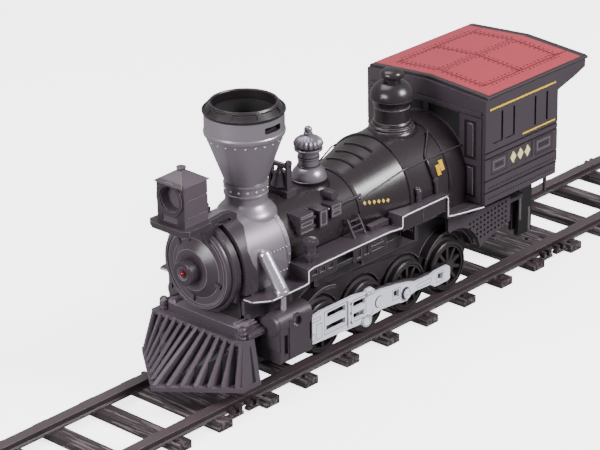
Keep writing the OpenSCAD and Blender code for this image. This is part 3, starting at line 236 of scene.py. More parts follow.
def dressed(piece, body, finish, rim=None, edge=0.2, segments=2, crease=32):
    """Rounds a piece's edges, smooths it where it curves, and gives it its finish and its body."""
    piece.data.materials.clear()
    for used in (finish, rim or finish):
        piece.data.materials.append(used.material)
    for face in piece.data.polygons:
        face.material_index = 0
    pick(piece)
    if edge:
        rounding = piece.modifiers.new("rounding", 'BEVEL')
        rounding.width, rounding.segments = edge * mm, segments
        rounding.limit_method, rounding.angle_limit = 'ANGLE', math.radians(crease)
        rounding.use_clamp_overlap = True
        # The bevel faces take the rim finish where one is given, a copy in another tone that paints the light and shade
        # on the edges.
        rounding.material = 1
        bpy.ops.object.modifier_apply(modifier="rounding")
    bpy.ops.object.shade_smooth_by_angle(angle=math.radians(crease))
    even = piece.modifiers.new("even", 'WEIGHTED_NORMAL')
    even.keep_sharp = True
    bpy.ops.object.modifier_apply(modifier="even")
    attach(piece, body)
    return piece


def moulded(node, body, finish, rim=None, edge=0.2, segments=2, crease=32):
    """The CAD solid as it leaves the mould, with its loose triangles joined first."""
    piece = bpy.data.objects.new(node + "_moulding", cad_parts[node].data.copy())
    bpy.context.scene.collection.objects.link(piece)
    pick(piece)
    bpy.ops.object.mode_set(mode='EDIT')
    bpy.ops.mesh.select_all(action='SELECT')
    bpy.ops.mesh.customdata_custom_splitnormals_clear()
    bpy.ops.mesh.remove_doubles(threshold=0.002 * mm)
    bpy.ops.mesh.dissolve_limited(angle_limit=math.radians(0.8))
    bpy.ops.object.mode_set(mode='OBJECT')
    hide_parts(node)
    return dressed(piece, body, finish, rim, edge, segments, crease)


track_plastic = plastic("track_plastic", "261d20", 0.4)
# Painted highlight: the track's bevels take this lighter finish.
track_highlight = plastic("track_edge_painted_highlight", "453a3f", 0.34)
for finish in (track_plastic, track_highlight):
    wood = finish.noise(900, 4, stretch=(0.05, 1, 1)) * (finish.z < 5 * mm)
    finish.feed("Normal", finish.relief(wood, 0.5 * mm))
    finish.coloured((wood > 0.56) * (finish.z < 5 * mm) * 0.75, "71666d")
# Painted highlight: the tops of the rail heads are lighter, on their faces and on their bevels.
track_plastic.coloured(track_plastic.z > 7.8 * mm, "40363a")
track_highlight.coloured(track_highlight.z > 7 * mm, "8a7e85")
for length in ("track_front", "track_middle", "track_rear"):
    moulded(length, "track", track_plastic, track_highlight, 0.25)


# ---------- Wheels and axles ----------
# Black plastic wheels with spokes and moulded crank bosses, pressed on steel axles.
wheel_plastic = plastic("wheel_plastic", "231e21", 0.34)
# Painted highlight: the bevels of the wheels and inner rods take this lighter grey.
wheel_highlight = plastic("wheel_edge_painted_highlight", "5d555b", 0.32)
axle_steel = plastic("axle_steel", "a9a7ab", 0.3, metallic=1.0)
for number in "1234":
    moulded("wheels_" + number, "wheelset_" + number, wheel_plastic, wheel_highlight, 0.15)
    moulded("axle_" + number, "wheelset_" + number, axle_steel, edge=0.1)

# ---------- Rods ----------
# A pale grey side rod clipped in front of a dark inner rod, one pair on each side.
rod_pale = plastic("rod_pale", "dcdce8", 0.38, mottle=0.03)
rod_edge = plastic("rod_edge", "aaaaba", 0.3, mottle=0.02)
for pin_y, pin_z, near in ((-0.5, 21.5, 1), (6.5, 28.5, -1)):
    lines = rod_pale.framed((pin_y - 10, pin_y - 3.8), (pin_z - 1, pin_z + 5), 0.3)
    lines = lines + rod_pale.framed((pin_y + 24, pin_y + 30), (pin_z - 3.2, pin_z + 2.5), 0.3)
    lines = lines + rod_pale.framed((pin_y + 9, pin_y + 20), (pin_z - 0.9, pin_z + 1.5), 0.3)
    lines = lines + rod_pale.framed((pin_y - 33.5, pin_y - 24.5), (pin_z - 2.2, pin_z + 2.6), 0.3)
    lines = lines + rod_pale.ringed(pin_y - 20, pin_z + 2.5, 2.75, 3.1) + rod_pale.ringed(pin_y, pin_z, 2.7, 3.3)
    rod_pale.coloured((rod_pale.x * near > 28 * mm) * lines, "55556a")
for side in ("left", "right"):
    moulded("side_rod_" + side, "rods_" + side, rod_pale, rod_edge)
    moulded("inner_rod_" + side, "rods_" + side, wheel_plastic, wheel_highlight, 0.15)

# ---------- Frame and drive ----------
# A charcoal plastic frame holds the motor and gears. A screwed keeper plate closes it below.
charcoal = plastic("charcoal_plastic", "362e35", 0.36)
# Painted highlight: the bevels of the charcoal and black pieces take this lighter grey.
charcoal_highlight = plastic("charcoal_edge_painted_highlight", "6b6069", 0.32)
frame_plastic = plastic("frame_plastic", "231d21", 0.42)
# Painted shade: under the cab the frame is near black.
frame_plastic.coloured((frame_plastic.y > 60 * mm) * (frame_plastic.z < 54 * mm), "0f0c0e")
brass = plastic("brass_bushes", "b08d4a", 0.3, metallic=1.0)
gear_nylon = plastic("gear_nylon", "e4e0d6", 0.5, mottle=0.05)
motor_can = plastic("motor_can", "9b9a9c", 0.34, metallic=1.0)
for part in ("chassis_frame", "wheel_arches", "keeper_plate", "gear_case"):
    moulded(part, "engine", frame_plastic, charcoal_highlight)
moulded("axle_bushes", "engine", brass, edge=0.08)
moulded("screws", "engine", axle_steel, edge=0.08)
moulded("pivot_pins", "engine", axle_steel, edge=0.08)
moulded("motor", "engine", motor_can, edge=0.3)
moulded("motor_pinion", "motor_rotor", brass, edge=0.05)
moulded("idler_gear", "idler", gear_nylon, edge=0.05)
moulded("axle_gear", "wheelset_3", gear_nylon, edge=0.05)

# ---------- Cylinders and guides ----------
# The charcoal cylinder blocks stand outside the frame, with the pale crosshead guides behind them.
moulded("cylinders", "engine", charcoal, charcoal_highlight, 0.4)
guide_pale = plastic("guide_pale", "dcdce8", 0.38, mottle=0.03)
lines = guide_pale.framed((-63.4, -46.9), (22, 34.5)) + guide_pale.framed((-44.9, -33), (21.4, 33.2))
lines = lines + guide_pale.framed((-78.5, -66), (31.4, 33.4), 0.3) + guide_pale.framed((-78.5, -70), (21.6, 25.4), 0.3)
lines = lines + guide_pale.framed((-69.2, -65), (21.6, 29.6), 0.3)
for up in (22.6, 27.4, 32.4):
    lines = lines + guide_pale.ringed(-45.1, up, 0, 0.75)
for along, up, size in ((-33.3, 19.4, 3.1), (-31.8, 33.4, 1.2), (-28.9, 33.4, 1.2), (-74.2, 28.6, 1.3)):
    lines = lines + guide_pale.ringed(along, up, size - 0.4, size)
guide_pale.coloured((abs(guide_pale.x) > 30.5 * mm) * lines, "4c4c5f")
moulded("crosshead_guides", "engine", guide_pale, rod_edge)

# ---------- Pilot and front beam ----------
# One moulding of sloping slats under the beam, as on the engines that cleared cattle off the line.
pilot_plastic = plastic("pilot_plastic", "433a42", 0.34)
# Painted highlight: the bevels of the slats and the beam take this pale grey.
pilot_highlight = plastic("pilot_edge_painted_highlight", "978c96", 0.3)
moulded("pilot", "engine", pilot_plastic, pilot_highlight, 0.34)
# Painted shade: the web seen between the slats is near black.
for side in (-1, 1):
    low_face = pilot_plastic.y - side * pilot_plastic.x * 0.796 - pilot_plastic.z * 0.212 > -146.5 * mm
    high_face = pilot_plastic.y - pilot_plastic.z * 1.52 > -169 * mm
    gap_shade = low_face * high_face * (side * pilot_plastic.x > 0)
    pilot_plastic.coloured(gap_shade * pilot_plastic.z.between(17.3, 35) * (pilot_plastic.y < -114 * mm), "120e11")
beam_plastic = plastic("beam_plastic", "362e35", 0.34)
# Painted highlight: the top of the beam is lighter.
beam_plastic.coloured((beam_plastic.z > 41.9 * mm) * (abs(beam_plastic.x) < 25.4 * mm), "6b616a")
moulded("buffer_beam", "engine", beam_plastic, pilot_highlight, 0.3)

# ---------- Footplate and valances ----------
# Thin running boards stepped over the wheels. A pale bead and lighter bevels along their outer edge paint the highlight
# that the edge catches.
board_highlight = plastic("footplate_edge_painted_highlight", "8d838d", 0.28)
moulded("footplate", "engine", charcoal, board_highlight, 0.2)


def pipe(name, route, radius, order=3):
    """A thin rod or pipe through the points of its route, with its ends closed."""
    line = bpy.data.curves.new(name, 'CURVE')
    line.dimensions, line.bevel_depth, line.bevel_resolution = '3D', radius * mm, 3
    line.use_fill_caps, line.resolution_u = True, 6
    bend = line.splines.new('NURBS')
    bend.points.add(len(route) - 1)
    for point, spot in zip(bend.points, route):
        point.co = [value * mm for value in spot] + [1]
    bend.use_endpoint_u, bend.order_u = True, order
    piece = bpy.data.objects.new(name, line)
    bpy.context.scene.collection.objects.link(piece)
    pick(piece)
    bpy.ops.object.convert(target='MESH')
    return bpy.context.object


# Painted highlight: a pale bead along the boards' outer edge stands for the bright line that the edge catches.
bead_painted_highlight = plastic("bead_painted_highlight", "ece6ed", 0.3, mottle=0.03)
for side, hand in ((1, "left"), (-1, "right")):
    bead = pipe("footplate_bead_" + hand,
                [(side * across, length, height) for across, length, height in
                 ((25, -111.7, 56.5), (30.3, -111.7, 56.5), (33.9, -102, 55.1), (33.9, -77.1, 55.1), (33.9, -76.9, 62.3),
                  (33.9, -19, 62.3), (33.9, -9, 61.1), (33.9, -8.9, 67.1), (33.9, 25.7, 67.1), (33.9, 25.8, 55.8),
                  (33.9, 30, 55), (38.6, 48.2, 54.9))], 0.36, 2)
    dressed(bead, "engine", bead_painted_highlight, edge=0, crease=60)
# Painted highlight: the bevels of the side panels and boiler fittings take this pale grey.
panel_highlight = plastic("panel_edge_painted_highlight", "a398a2", 0.3)
moulded("side_panels", "engine", frame_plastic, panel_highlight, 0.34)
plate_plastic = plastic("plate_plastic", "362e35", 0.36)
# Painted shade: under the cab the plates are near black, and their two hanger bars are painted lighter, as lit.
plate_plastic.coloured((plate_plastic.y > 98.5 * mm) * (plate_plastic.z < 43.1 * mm), "0f0c0e")
for length, low, high in ((100.5, 25.7, 40), (108, 17.2, 31)):
    plate_plastic.coloured(plate_plastic.y.between(length - 0.8, length + 0.8) * plate_plastic.z.between(low, high),
                           "554b54")
moulded("perforated_plates", "engine", plate_plastic, charcoal_highlight, 0.12)



def bar(name, low, high):
    """A straight bar between two opposite corners, its ends inset so that they catch the light."""
    middle = [(a + b) / 2 * mm for a, b in zip(low, high)]
    bpy.ops.object.select_all(action='DESELECT')
    bpy.ops.mesh.primitive_cube_add(size=1, location=middle, scale=[(b - a) * mm for a, b in zip(low, high)])
    piece = bpy.context.object
    piece.name = name
    bpy.ops.object.transform_apply(location=True, rotation=True, scale=True)
    bpy.ops.object.mode_set(mode='EDIT')
    bpy.ops.mesh.select_all(action='SELECT')
    bpy.ops.mesh.bevel(offset=0.18 * min(b - a for a, b in zip(low, high)) * mm, segments=2, affect='EDGES')
    bpy.ops.object.mode_set(mode='OBJECT')
    return piece


for side, hand in ((1, "left"), (-1, "right")):
    cheek = bar("frame_cheek_" + hand, (min(side * 17.9, side * 18.7), 59, 26), (max(side * 17.9, side * 18.7), 70, 36))
    dressed(cheek, "engine", frame_plastic, edge=0)

# ---------- Smokebox ----------
# A silver painted drum. Its wrapper is held by a ring of rivets and a riveted seam on each side.
silver = plastic("silver_paint", "857c86", 0.34, grain=0.006, mottle=0.06, metallic=0.55)
# Painted highlight: the silver's bevels and the rivet heads take this paler silver.
silver_highlight = plastic("silver_edge_painted_highlight", "b8b0ba", 0.3, mottle=0.05, metallic=0.55)
moulded("smokebox", "engine", silver, silver_highlight)
axis_z = 67.4


def rivets(name, seats, radius, body, finish):
    """Half-round heads, each one on its seat and facing the way that its seat faces."""
    bpy.ops.object.select_all(action='DESELECT')
    bpy.ops.mesh.primitive_uv_sphere_add(segments=10, ring_count=6, radius=radius * mm)
    head = bpy.context.object
    bpy.ops.object.mode_set(mode='EDIT')
    bpy.ops.mesh.select_all(action='SELECT')
    bpy.ops.mesh.bisect(plane_co=(0, 0, -0.1 * radius * mm), plane_no=(0, 0, 1), use_fill=True, clear_inner=True)
    bpy.ops.mesh.select_all(action='SELECT')
    bpy.ops.transform.resize(value=(1, 1, 0.8))
    bpy.ops.object.mode_set(mode='OBJECT')
    heads = []
    for spot, facing in seats:
        twin = head.copy()
        twin.data = head.data.copy()
        twin.matrix_world = (Matrix.Translation(Vector(spot) * mm)
                             @ Vector(facing).to_track_quat('Z', 'Y').to_matrix().to_4x4())
        bpy.context.scene.collection.objects.link(twin)
        heads.append(twin)
    bpy.data.objects.remove(head)
    bpy.ops.object.select_all(action='DESELECT')
    for twin in heads:
        twin.select_set(True)
    bpy.context.view_layer.objects.active = heads[0]
    bpy.ops.object.join()
    bpy.ops.object.transform_apply(location=True, rotation=True, scale=True)
    heads[0].name = name
    return dressed(heads[0], body, finish, edge=0, crease=60)


seats = []
for turn in range(-24, 205, 12):
    around = math.radians(turn)
    seats.append(((22.4 * math.cos(around), -77.6, axis_z + 22.4 * math.sin(around)),
                  (math.cos(around), 0, math.sin(around))))
for side in (-1, 1):
    for step in range(8):
        seats.append(((side * 21.9, -94 + 2.1 * step, 71.6), (side, 0, 0.19)))
        seats.append(((side * 21.95, -94 + 2.1 * step, 60), (side, 0, 0)))
rivets("smokebox_rivets", seats, 0.5, "engine", silver_highlight)


def joined(name, pieces):
    bpy.ops.object.select_all(action='DESELECT')
    for piece in pieces:
        piece.select_set(True)
    bpy.context.view_layer.objects.active = pieces[0]
    bpy.ops.object.join()
    pieces[0].name = name
    return pieces[0]


# ---------- Smokebox front ----------
# A dark casting wraps the drum's front end, round a coned door with a boss for the lamp.
front_black = plastic("front_casting_black", "2c252b", 0.3)
moulded("smokebox_front", "engine", front_black, charcoal_highlight, 0.35)
led_red = plastic("lamp_red", "5e050b", 0.12)
moulded("lamp_led", "engine", led_red, edge=0.1)


def turned(name, place, outline, along='Z', steps=96):
    """Spins an outline of (radius, height) corners about its axis, closed where it meets the axis."""
    bpy.ops.object.select_all(action='DESELECT')
    bpy.ops.mesh.primitive_plane_add(size=mm)
    piece = bpy.context.object
    piece.name = name
    bpy.ops.object.mode_set(mode='EDIT')
    bpy.ops.mesh.select_all(action='SELECT')
    bpy.ops.mesh.merge(type='CENTER')
    bpy.ops.transform.translate(value=(outline[0][0] * mm, 0, outline[0][1] * mm))
    for (r0, z0), (r1, z1) in zip(outline, outline[1:]):
        bpy.ops.mesh.extrude_vertices_move(
            TRANSFORM_OT_translate={"value": ((r1 - r0) * mm, 0, (z1 - z0) * mm)})
    bpy.ops.mesh.select_all(action='SELECT')
    bpy.ops.mesh.spin(steps=steps, angle=2 * math.pi, center=(0, 0, 0), axis=(0, 0, 1))
    bpy.ops.mesh.select_all(action='SELECT')
    bpy.ops.mesh.remove_doubles(threshold=0.01 * mm)
    bpy.ops.mesh.normals_make_consistent(inside=False)
    bpy.ops.object.mode_set(mode='OBJECT')
    piece.rotation_euler = {'X': (0, math.pi / 2, 0), 'Y': (-math.pi / 2, 0, 0), 'Z': (0, 0, 0)}[along]
    piece.location = [value * mm for value in place]
    bpy.ops.object.transform_apply(location=True, rotation=True, scale=True)
    return piece


door = turned("smokebox_door", (0, -121.66, axis_z),
              [(2.4, 1.5), (2.4, 0.9), (10.2, 0.55), (11.2, 1.3), (12.6, 2.4), (14.8, 3.9), (18.1, 3.95), (18.4, 4.5),
               (18.8, 4.5), (19.1, 3.55), (20.3, 3.5), (20.9, 4.1), (21.25, 4.9), (21.25, 6), (2.4, 6), (2.4, 1.5)], 'Y')
dressed(door, "engine", charcoal, charcoal_highlight, 0.12)
boss = turned("smokebox_boss", (0, -127, axis_z),
              [(1.7, 1.4), (1.7, 0.9), (2.9, 0.75), (3.3, 0.02), (5.5, 0), (6.1, 0.6), (6.15, 5.9), (1.7, 5.9), (1.7, 1.4)], 'Y')
dressed(boss, "engine", charcoal, charcoal_highlight, 0.12)

lugs = []
for turn in (-98, -18, 105, 133):
    lug = bar("door_lug", (13.6, -119, -1.1), (17.2, -117.4, 1.1))
    lug.rotation_euler = (0, -math.radians(turn), 0)
    lug.location = (0, 0, axis_z * mm)
    pick(lug)
    bpy.ops.object.transform_apply(location=True, rotation=True, scale=True)
    lugs.append(lug)
dressed(joined("smokebox_door_lugs", lugs), "engine", charcoal, edge=0)

# ---------- Headlight ----------
# A boxed lamp house on a flat bracket, with a silvered dish behind its round hood.
lamp_plastic = plastic("lamp_house_plastic", "453c44", 0.36)
# Painted shade: the front face of the lamp house is darker than its sides.
lamp_plastic.coloured(lamp_plastic.y < -132.4 * mm, "2e262c")
moulded("headlight_bracket", "engine", front_black, charcoal_highlight)
moulded("headlight_housing", "engine", lamp_plastic, charcoal_highlight, 0.25)
# Painted highlight: the dish is a flat pale colour, bright enough to stand lit in the shade of the hood.
lens_silver = plastic("lens_silver", "cbc1cd", 0.3)
moulded("headlight_lens", "engine", lens_silver, edge=0.1)

# ---------- Stack ----------
# The flared spark-arresting stack is silver painted, with riveted collars and a slot in its drum.
# Its open bowl and the inside of its slot are painted near black, the shade inside them, and a charcoal ribbed rim
# closes the top.
near_black = plastic("near_black_plastic", "0e0c0e", 0.75, mottle=0.05)
stack = turned("stack_shell", (0, -83, 0),
               [(0, 84), (14.75, 84), (14.5, 85.6), (14, 86.8), (13.1, 87.9), (12, 88.9), (11.1, 90), (10.4, 91),
                (10.1, 92), (10.1, 94.8), (10.7, 95.1), (10.7, 96), (10.2, 96.25), (10.2, 99.7), (10.8, 100),
                (10.8, 100.9), (9.95, 101.1), (11.2, 104.4), (18.6, 124.8), (19.2, 125.2), (19.5, 126.2),
                (19.5, 127), (19.1, 127.6), (19.1, 135.95), (15.35, 135.95), (15.35, 127), (5, 103), (0, 102.4)])
slot_cut = bar("stack_slot", (12, -88.2, 130), (22, -78, 133))
opening = stack.modifiers.new("slot", 'BOOLEAN')
opening.operation, opening.object = 'DIFFERENCE', slot_cut
pick(stack)
bpy.ops.object.modifier_apply(modifier="slot")
bpy.data.objects.remove(slot_cut)
dressed(stack, "engine", silver, silver, 0.12)
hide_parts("stack")
# Painted shade: the faces inside the bowl and inside the slot take the near black.
for face in stack.data.polygons:
    spot = face.center / mm
    inward = face.normal.x * spot.x + face.normal.y * (spot.y + 83) < 0
    if spot.z > 102.2 and inward and math.hypot(spot.x, spot.y + 83) < 15.6 or 129.9 < spot.z < 133 and inward:
        face.material_index = 2
stack.data.materials.append(near_black.material)
rim_plastic = plastic("rim_plastic", "171216", 0.34)
moulded("stack_rim", "engine", rim_plastic, charcoal_highlight, 0.16)
seats = []
for turn in range(0, 360, 24):
    around = math.radians(turn + 6)
    seats.append(((10.15 * math.cos(around), -83 + 10.15 * math.sin(around), 98),
                  (math.cos(around), math.sin(around), 0)))
rivets("stack_collar_rivets", seats, 0.75, "engine", silver_highlight)
seats = []
for turn in range(0, 360, 15):
    around = math.radians(turn)
    seats.append(((18 * math.cos(around), -83 + 18 * math.sin(around), 123.4),
                  (math.cos(around), math.sin(around), -0.4)))
rivets("stack_funnel_rivets", seats, 0.55, "engine", silver_highlight)

# ---------- Bell ----------
# The bell is dark plated plastic, hung in a yoke on the boiler.
bell_plastic = plastic("bell_plastic", "5a5159", 0.24, mottle=0.05, metallic=0.6)
moulded("bell", "bell", bell_plastic, edge=0.1)
moulded("bell_yoke", "engine", charcoal, charcoal_highlight, 0.15)

# ---------- Steam dome ----------
# A silver plated dome with a turned waist, a fluted cap and a ball finial.
dome_silver = plastic("dome_silver", "857d88", 0.3, grain=0.004, mottle=0.05, metallic=0.65)
# Painted shade: dark bands at the steps and grooves of the waist.
waist_shade_bands = dome_silver.z.between(98.6, 99) + dome_silver.z.between(99.8, 100.2) + dome_silver.z.between(95.3, 95.7)
waist_shade_bands = waist_shade_bands + dome_silver.z.between(104.3, 105.1)
dome_silver.coloured(waist_shade_bands, "3a3239")
dome_silver.coloured(dome_silver.z < 88.8 * mm, "2c252a")
dome = turned("steam_dome_shell", (0, -39.2, 0),
              [(0, 84.6), (11.1, 84.6), (10.8, 85.5), (10, 86.4), (9.3, 87), (9.3, 88.6), (8.7, 88.9), (8.7, 89.7),
               (8.5, 90.7), (7.9, 92.2), (7, 93.4), (6.1, 94.2), (5.7, 94.5), (5.7, 95.3), (5.2, 95.6), (5.2, 98.8),
               (5.5, 99), (5.5, 99.8), (5.2, 100), (5.2, 102.4), (6, 102.7), (6.9, 103.2), (7, 103.9), (6.4, 104.4),
               (6.4, 105), (7.1, 105.3), (7.4, 106), (7.3, 107), (6.7, 108.1), (5.6, 109), (4.3, 109.7),
               (2.8, 110.2), (2.3, 110.6), (2.2, 111.9), (1.7, 112.2), (1.9, 112.7), (2, 113.5), (1.7, 114.4),
               (1, 115), (0, 115.1)], steps=144)
for corner in dome.data.vertices:
    spot = Vector((corner.co.x, corner.co.y + 39.2 * mm))
    if 105.2 * mm < corner.co.z < 110 * mm:
        fluting = 1 - 0.05 * (1 - math.cos(18 * math.atan2(spot.y, spot.x)))
        corner.co.x, corner.co.y = spot.x * fluting, spot.y * fluting - 39.2 * mm
dressed(dome, "engine", dome_silver, edge=0, crease=40)
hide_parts("steam_dome")

# ---------- Crank pin caps ----------
# A pale cap with a raised ring covers the end of the main crank pin on each side.
for side, hand, length, height in ((1, "left", -0.5, 21.5), (-1, "right", 6.5, 28.5)):
    cap = turned("crank_pin_cap_" + hand, (side * 29.45, length, height),
                 [(0, 0), (2.6, 0), (2.6, side * 0.6), (2, side * 0.75), (1.7, side * 0.45), (1, side * 0.45),
                  (0.7, side * 0.7), (0, side * 0.75)], 'X', steps=32)
    dressed(cap, "wheelset_3", rod_pale, rod_edge, 0.05)

# ---------- Boiler ----------
# The glossy black boiler shell with its taper, hoops and the fittings moulded on its sides.
# Thin handrails and a feed pipe are clipped on, and a lubricator plate shines on the firebox.
boiler_black = plastic("boiler_black", "251e22", 0.27, grain=0.001, mottle=0.05)
# Painted highlight: the bevels of the boiler, its domes and valves take this lighter grey.
boiler_highlight = plastic("boiler_edge_painted_highlight", "6b6069", 0.26, grain=0.004)
word_place = 0
for step in range(6):
    aside = abs(boiler_black.y + (21.2 - 2.6 * step) * mm) * 1.3
    upright = abs(boiler_black.z - (74.6 - 0.35 * step) * mm)
    word_place = (aside + upright < 1.15 * mm) + word_place
boiler_black.coloured((abs(boiler_black.x) > 15 * mm) * word_place, "e0bd4e")
fitting_black = plastic("fitting_black", "342c32", 0.3, grain=0.003)
lines = 0
for along, up in (((-68.6, -60.7), (74.2, 75.4)), ((-68.6, -60.7), (77.2, 79.6)), ((-68.6, -60.7), (81.5, 83)),
                  ((-55, -50.7), (74, 81.2)), ((-46.2, -40.2), (75.8, 78.4)), ((-46.2, -40.2), (79, 81.4))):
    lines = fitting_black.framed(along, up, 0.45) + lines
# Painted highlight: pale frame lines on the pump boxes' sides stand for the lit edges of raised frames.
fitting_black.coloured((abs(fitting_black.x) > 21.3 * mm) * lines, "7d727c")
moulded("boiler", "engine", boiler_black, boiler_highlight, 0.25)
moulded("boiler_fittings", "engine", fitting_black, panel_highlight, 0.26)
for side, hand in ((1, "left"), (-1, "right")):
    rail = pipe("handrail_" + hand,
                [(side * 19.2, -23.3, 77.1), (side * 21.2, -10.6, 80.6), (side * 23.2, 1, 84.4), (side * 23.9, 3.8, 85.3),
                 (side * 23.9, 12, 85.4), (side * 23.9, 35.6, 85.4), (side * 24.6, 48, 85.4)], 0.4)
    dressed(rail, "engine", fitting_black, edge=0, crease=60)
    feed = pipe("feed_pipe_" + hand,
                [(side * 13.9, 33.3, 94.4), (side * 17, 29.8, 91.8), (side * 22.2, 21.1, 86.6), (side * 25.4, 21.1, 82.4),
                 (side * 27.2, 21.6, 77.4), (side * 27.9, 23, 74.4), (side * 27.9, 23, 65.4)], 0.7)
    dressed(feed, "engine", boiler_black, edge=0, crease=60)
    valve = turned("feed_valve_" + hand, (side * 27.9, 9.4, 0),
                   [(0, 67.7), (1.3, 67.7), (1.3, 69.6), (0.9, 69.9), (0.9, 72.4), (1.4, 72.7), (1.7, 73.6), (1.5, 74.6),
                    (0.8, 75.2), (0, 75.3)], steps=24)
    dressed(valve, "engine", boiler_black, boiler_highlight, 0.1)
brass_paint = plastic("brass_paint", "e0ae22", 0.34, mottle=0.05, metallic=0.25)
for side, hand in ((1, "left"), (-1, "right")):
    halves = []
    for length, around in ((27.2, 19), (30.3, 22.5)):
        half = bar("lubricator_half", (-0.4, -1.35, -2.7), (0.4, 1.35, 2.7))
        half.rotation_euler = (0, -math.radians(around), 0)
        half.location = Vector((27.5 * math.cos(math.radians(around)), length,
                                69.3 + 27.5 * math.sin(math.radians(around)))) * mm
        pick(half)
        bpy.ops.object.transform_apply(location=True, rotation=True, scale=True)
        halves.append(half)
    plate = joined("lubricator_plate_" + hand, halves)
    pick(plate)
    bpy.ops.object.mode_set(mode='EDIT')
    bpy.ops.mesh.select_all(action='SELECT')
    bpy.ops.transform.resize(value=(side, 1, 1), center_override=(0, 0, 0))
    bpy.ops.mesh.normals_make_consistent(inside=False)
    bpy.ops.object.mode_set(mode='OBJECT')
    dressed(plate, "engine", brass_paint, edge=0)

# ---------- Sand dome and whistle button ----------
# A tall turned dome, moulded in glossy black, with a sprung knob in its top.
sand = turned("sand_dome_shell", (0, 22.5, 0),
              [(0, 91), (12.6, 91), (12.6, 94.8), (12.4, 95.6), (11.8, 96.3), (11.2, 96.8), (11.2, 97.9), (10.9, 98.3),
               (10.2, 98.6), (10.05, 99.7), (9.7, 100.2), (9.3, 100.6), (9, 104), (9.2, 107.6), (8.8, 107.8), (8.8, 108.5),
               (9.4, 108.7), (9.8, 110.6), (10.8, 111.8), (11.2, 112.3), (11.2, 113.2), (10.9, 114.8), (10.3, 116.4),
               (9.4, 117.8), (8.2, 119.1), (6.8, 120.1), (5.4, 120.7), (4.25, 120.85), (4.25, 113.9), (0, 113.9)])
dressed(sand, "engine", boiler_black, boiler_highlight, 0.1)
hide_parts("sand_dome")
knob = turned("whistle_knob", (0, 22.5, 0),
              [(0, 117.4), (4, 117.4), (4, 122.5), (5.2, 122.7), (5.8, 123.2), (6, 123.8), (6, 124.8), (5.5, 125.7),
               (4.6, 126.5), (3.2, 127), (1.6, 127.2), (0, 127.2)])
dressed(knob, "whistle_button", boiler_black, boiler_highlight, 0.1)
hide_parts("whistle_button")

# ---------- Steam pipes ----------
# Bright plated pipes run down from the smokebox, through the footplate, to the cylinders.
pipe_bright = plastic("pipe_bright", "c6c0c9", 0.26, grain=0.003, mottle=0.03, metallic=0.85)
lengths = []
for side in (-1, 1):
    top, foot = Vector((side * 22.4, -94.8, 72.4)), Vector((side * 31.4, -93.4, 57.4))
    long = (top - foot).length
    slope = turned("steam_pipe_slope", (0, 0, 0),
                   [(0, -3.2), (2.2, -2.4), (3.2, -0.8), (3.3, 0), (3.4, long), (3.1, long + 1.3), (2.3, long + 2.5),
                    (1.2, long + 3.1), (0, long + 3.3)], steps=40)
    slope.rotation_euler = (top - foot).to_track_quat('Z', 'Y').to_euler()
    slope.location = foot * mm
    pick(slope)
    bpy.ops.object.transform_apply(location=True, rotation=True, scale=True)
    bpy.ops.object.mode_set(mode='EDIT')
    bpy.ops.mesh.select_all(action='SELECT')
    bpy.ops.mesh.bisect(plane_co=(0, 0, 55.63 * mm), plane_no=(0, 0, 1), use_fill=True, clear_inner=True)
    bpy.ops.object.mode_set(mode='OBJECT')
    lengths.append(slope)
    lengths.append(turned("steam_pipe_flange", (side * 31.6, -93.4, 0),
                          [(0, 55.63), (3.6, 55.63), (3.6, 56.9), (3.3, 57.4), (0, 57.5)], steps=40))
    lengths.append(turned("steam_pipe_tail", (side * 31.6, -92.4, 0),
                          [(0, 46.2), (1.5, 46.2), (1.5, 54.25), (0, 54.25)], steps=24))
steam_pipes = joined("steam_pipes_bright", lengths)
dressed(steam_pipes, "engine", pipe_bright, edge=0.08, crease=50)
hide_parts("steam_pipes")

# ---------- Cab and roof ----------
# Grooved charcoal cab sides, printed with thin gold lines and a plain row of lozenges.
# The dull red roof has raised panels inside a dark border.
cab_plastic = plastic("cab_plastic", "372f36", 0.36)
# Painted highlight: the bevels of the cab and its pilaster panels take this lighter grey.
cab_highlight = plastic("cab_edge_painted_highlight", "8a7f89", 0.34)
flank = abs(cab_plastic.x) > 38.2 * mm
# Painted shade: the grooves along the cab sides are drawn as dark lines.
groove_shade = abs(abs(cab_plastic.z - 81.75 * mm) - 1.55 * mm) < 0.42 * mm
groove_shade = groove_shade + (abs(abs(cab_plastic.z - 65.15 * mm) - 3.15 * mm) < 0.42 * mm)
cab_plastic.coloured(flank * groove_shade, "1d181c")
# Painted shade: the window recesses are near black.
cab_plastic.coloured((abs(cab_plastic.x) < 38.5 * mm) * (abs(cab_plastic.x) > 37.6 * mm)
                     * cab_plastic.z.between(86.9, 103.1) * cab_plastic.y.between(50.6, 106.9), "0d0b0c")
# Painted shade and highlight: the nested frames beside the number are drawn as dark lines, with a lighter one between.
for start, end in ((53, 66), (88.5, 103)):
    for inset in (0, 1.9, 3.6):
        rim = cab_plastic.y.between(start + inset, end - inset) * cab_plastic.z.between(70.6 + inset, 79.4 - inset)
        core = (cab_plastic.y.between(start + inset + 0.55, end - inset - 0.55)
                * cab_plastic.z.between(70.6 + inset + 0.55, 79.4 - inset - 0.55))
        cab_plastic.coloured(flank * (rim - core), "151114" if inset != 1.9 else "6b616a")
gold = cab_plastic.z.between(105.4, 106.4) * cab_plastic.y.between(51.7, 105)
gold = gold + cab_plastic.z.between(85.1, 86) * cab_plastic.y.between(78.3, 105)
cab_plastic.coloured(flank * gold, "e3b521")
lozenges = 0
for middle in (71.4, 77.2, 83):
    across = abs(cab_plastic.y - middle * mm) * 1.35
    lozenges = (abs(cab_plastic.z - 75 * mm) + across < 3.3 * mm) + lozenges
cab_plastic.coloured(flank * lozenges, "efdf9a")
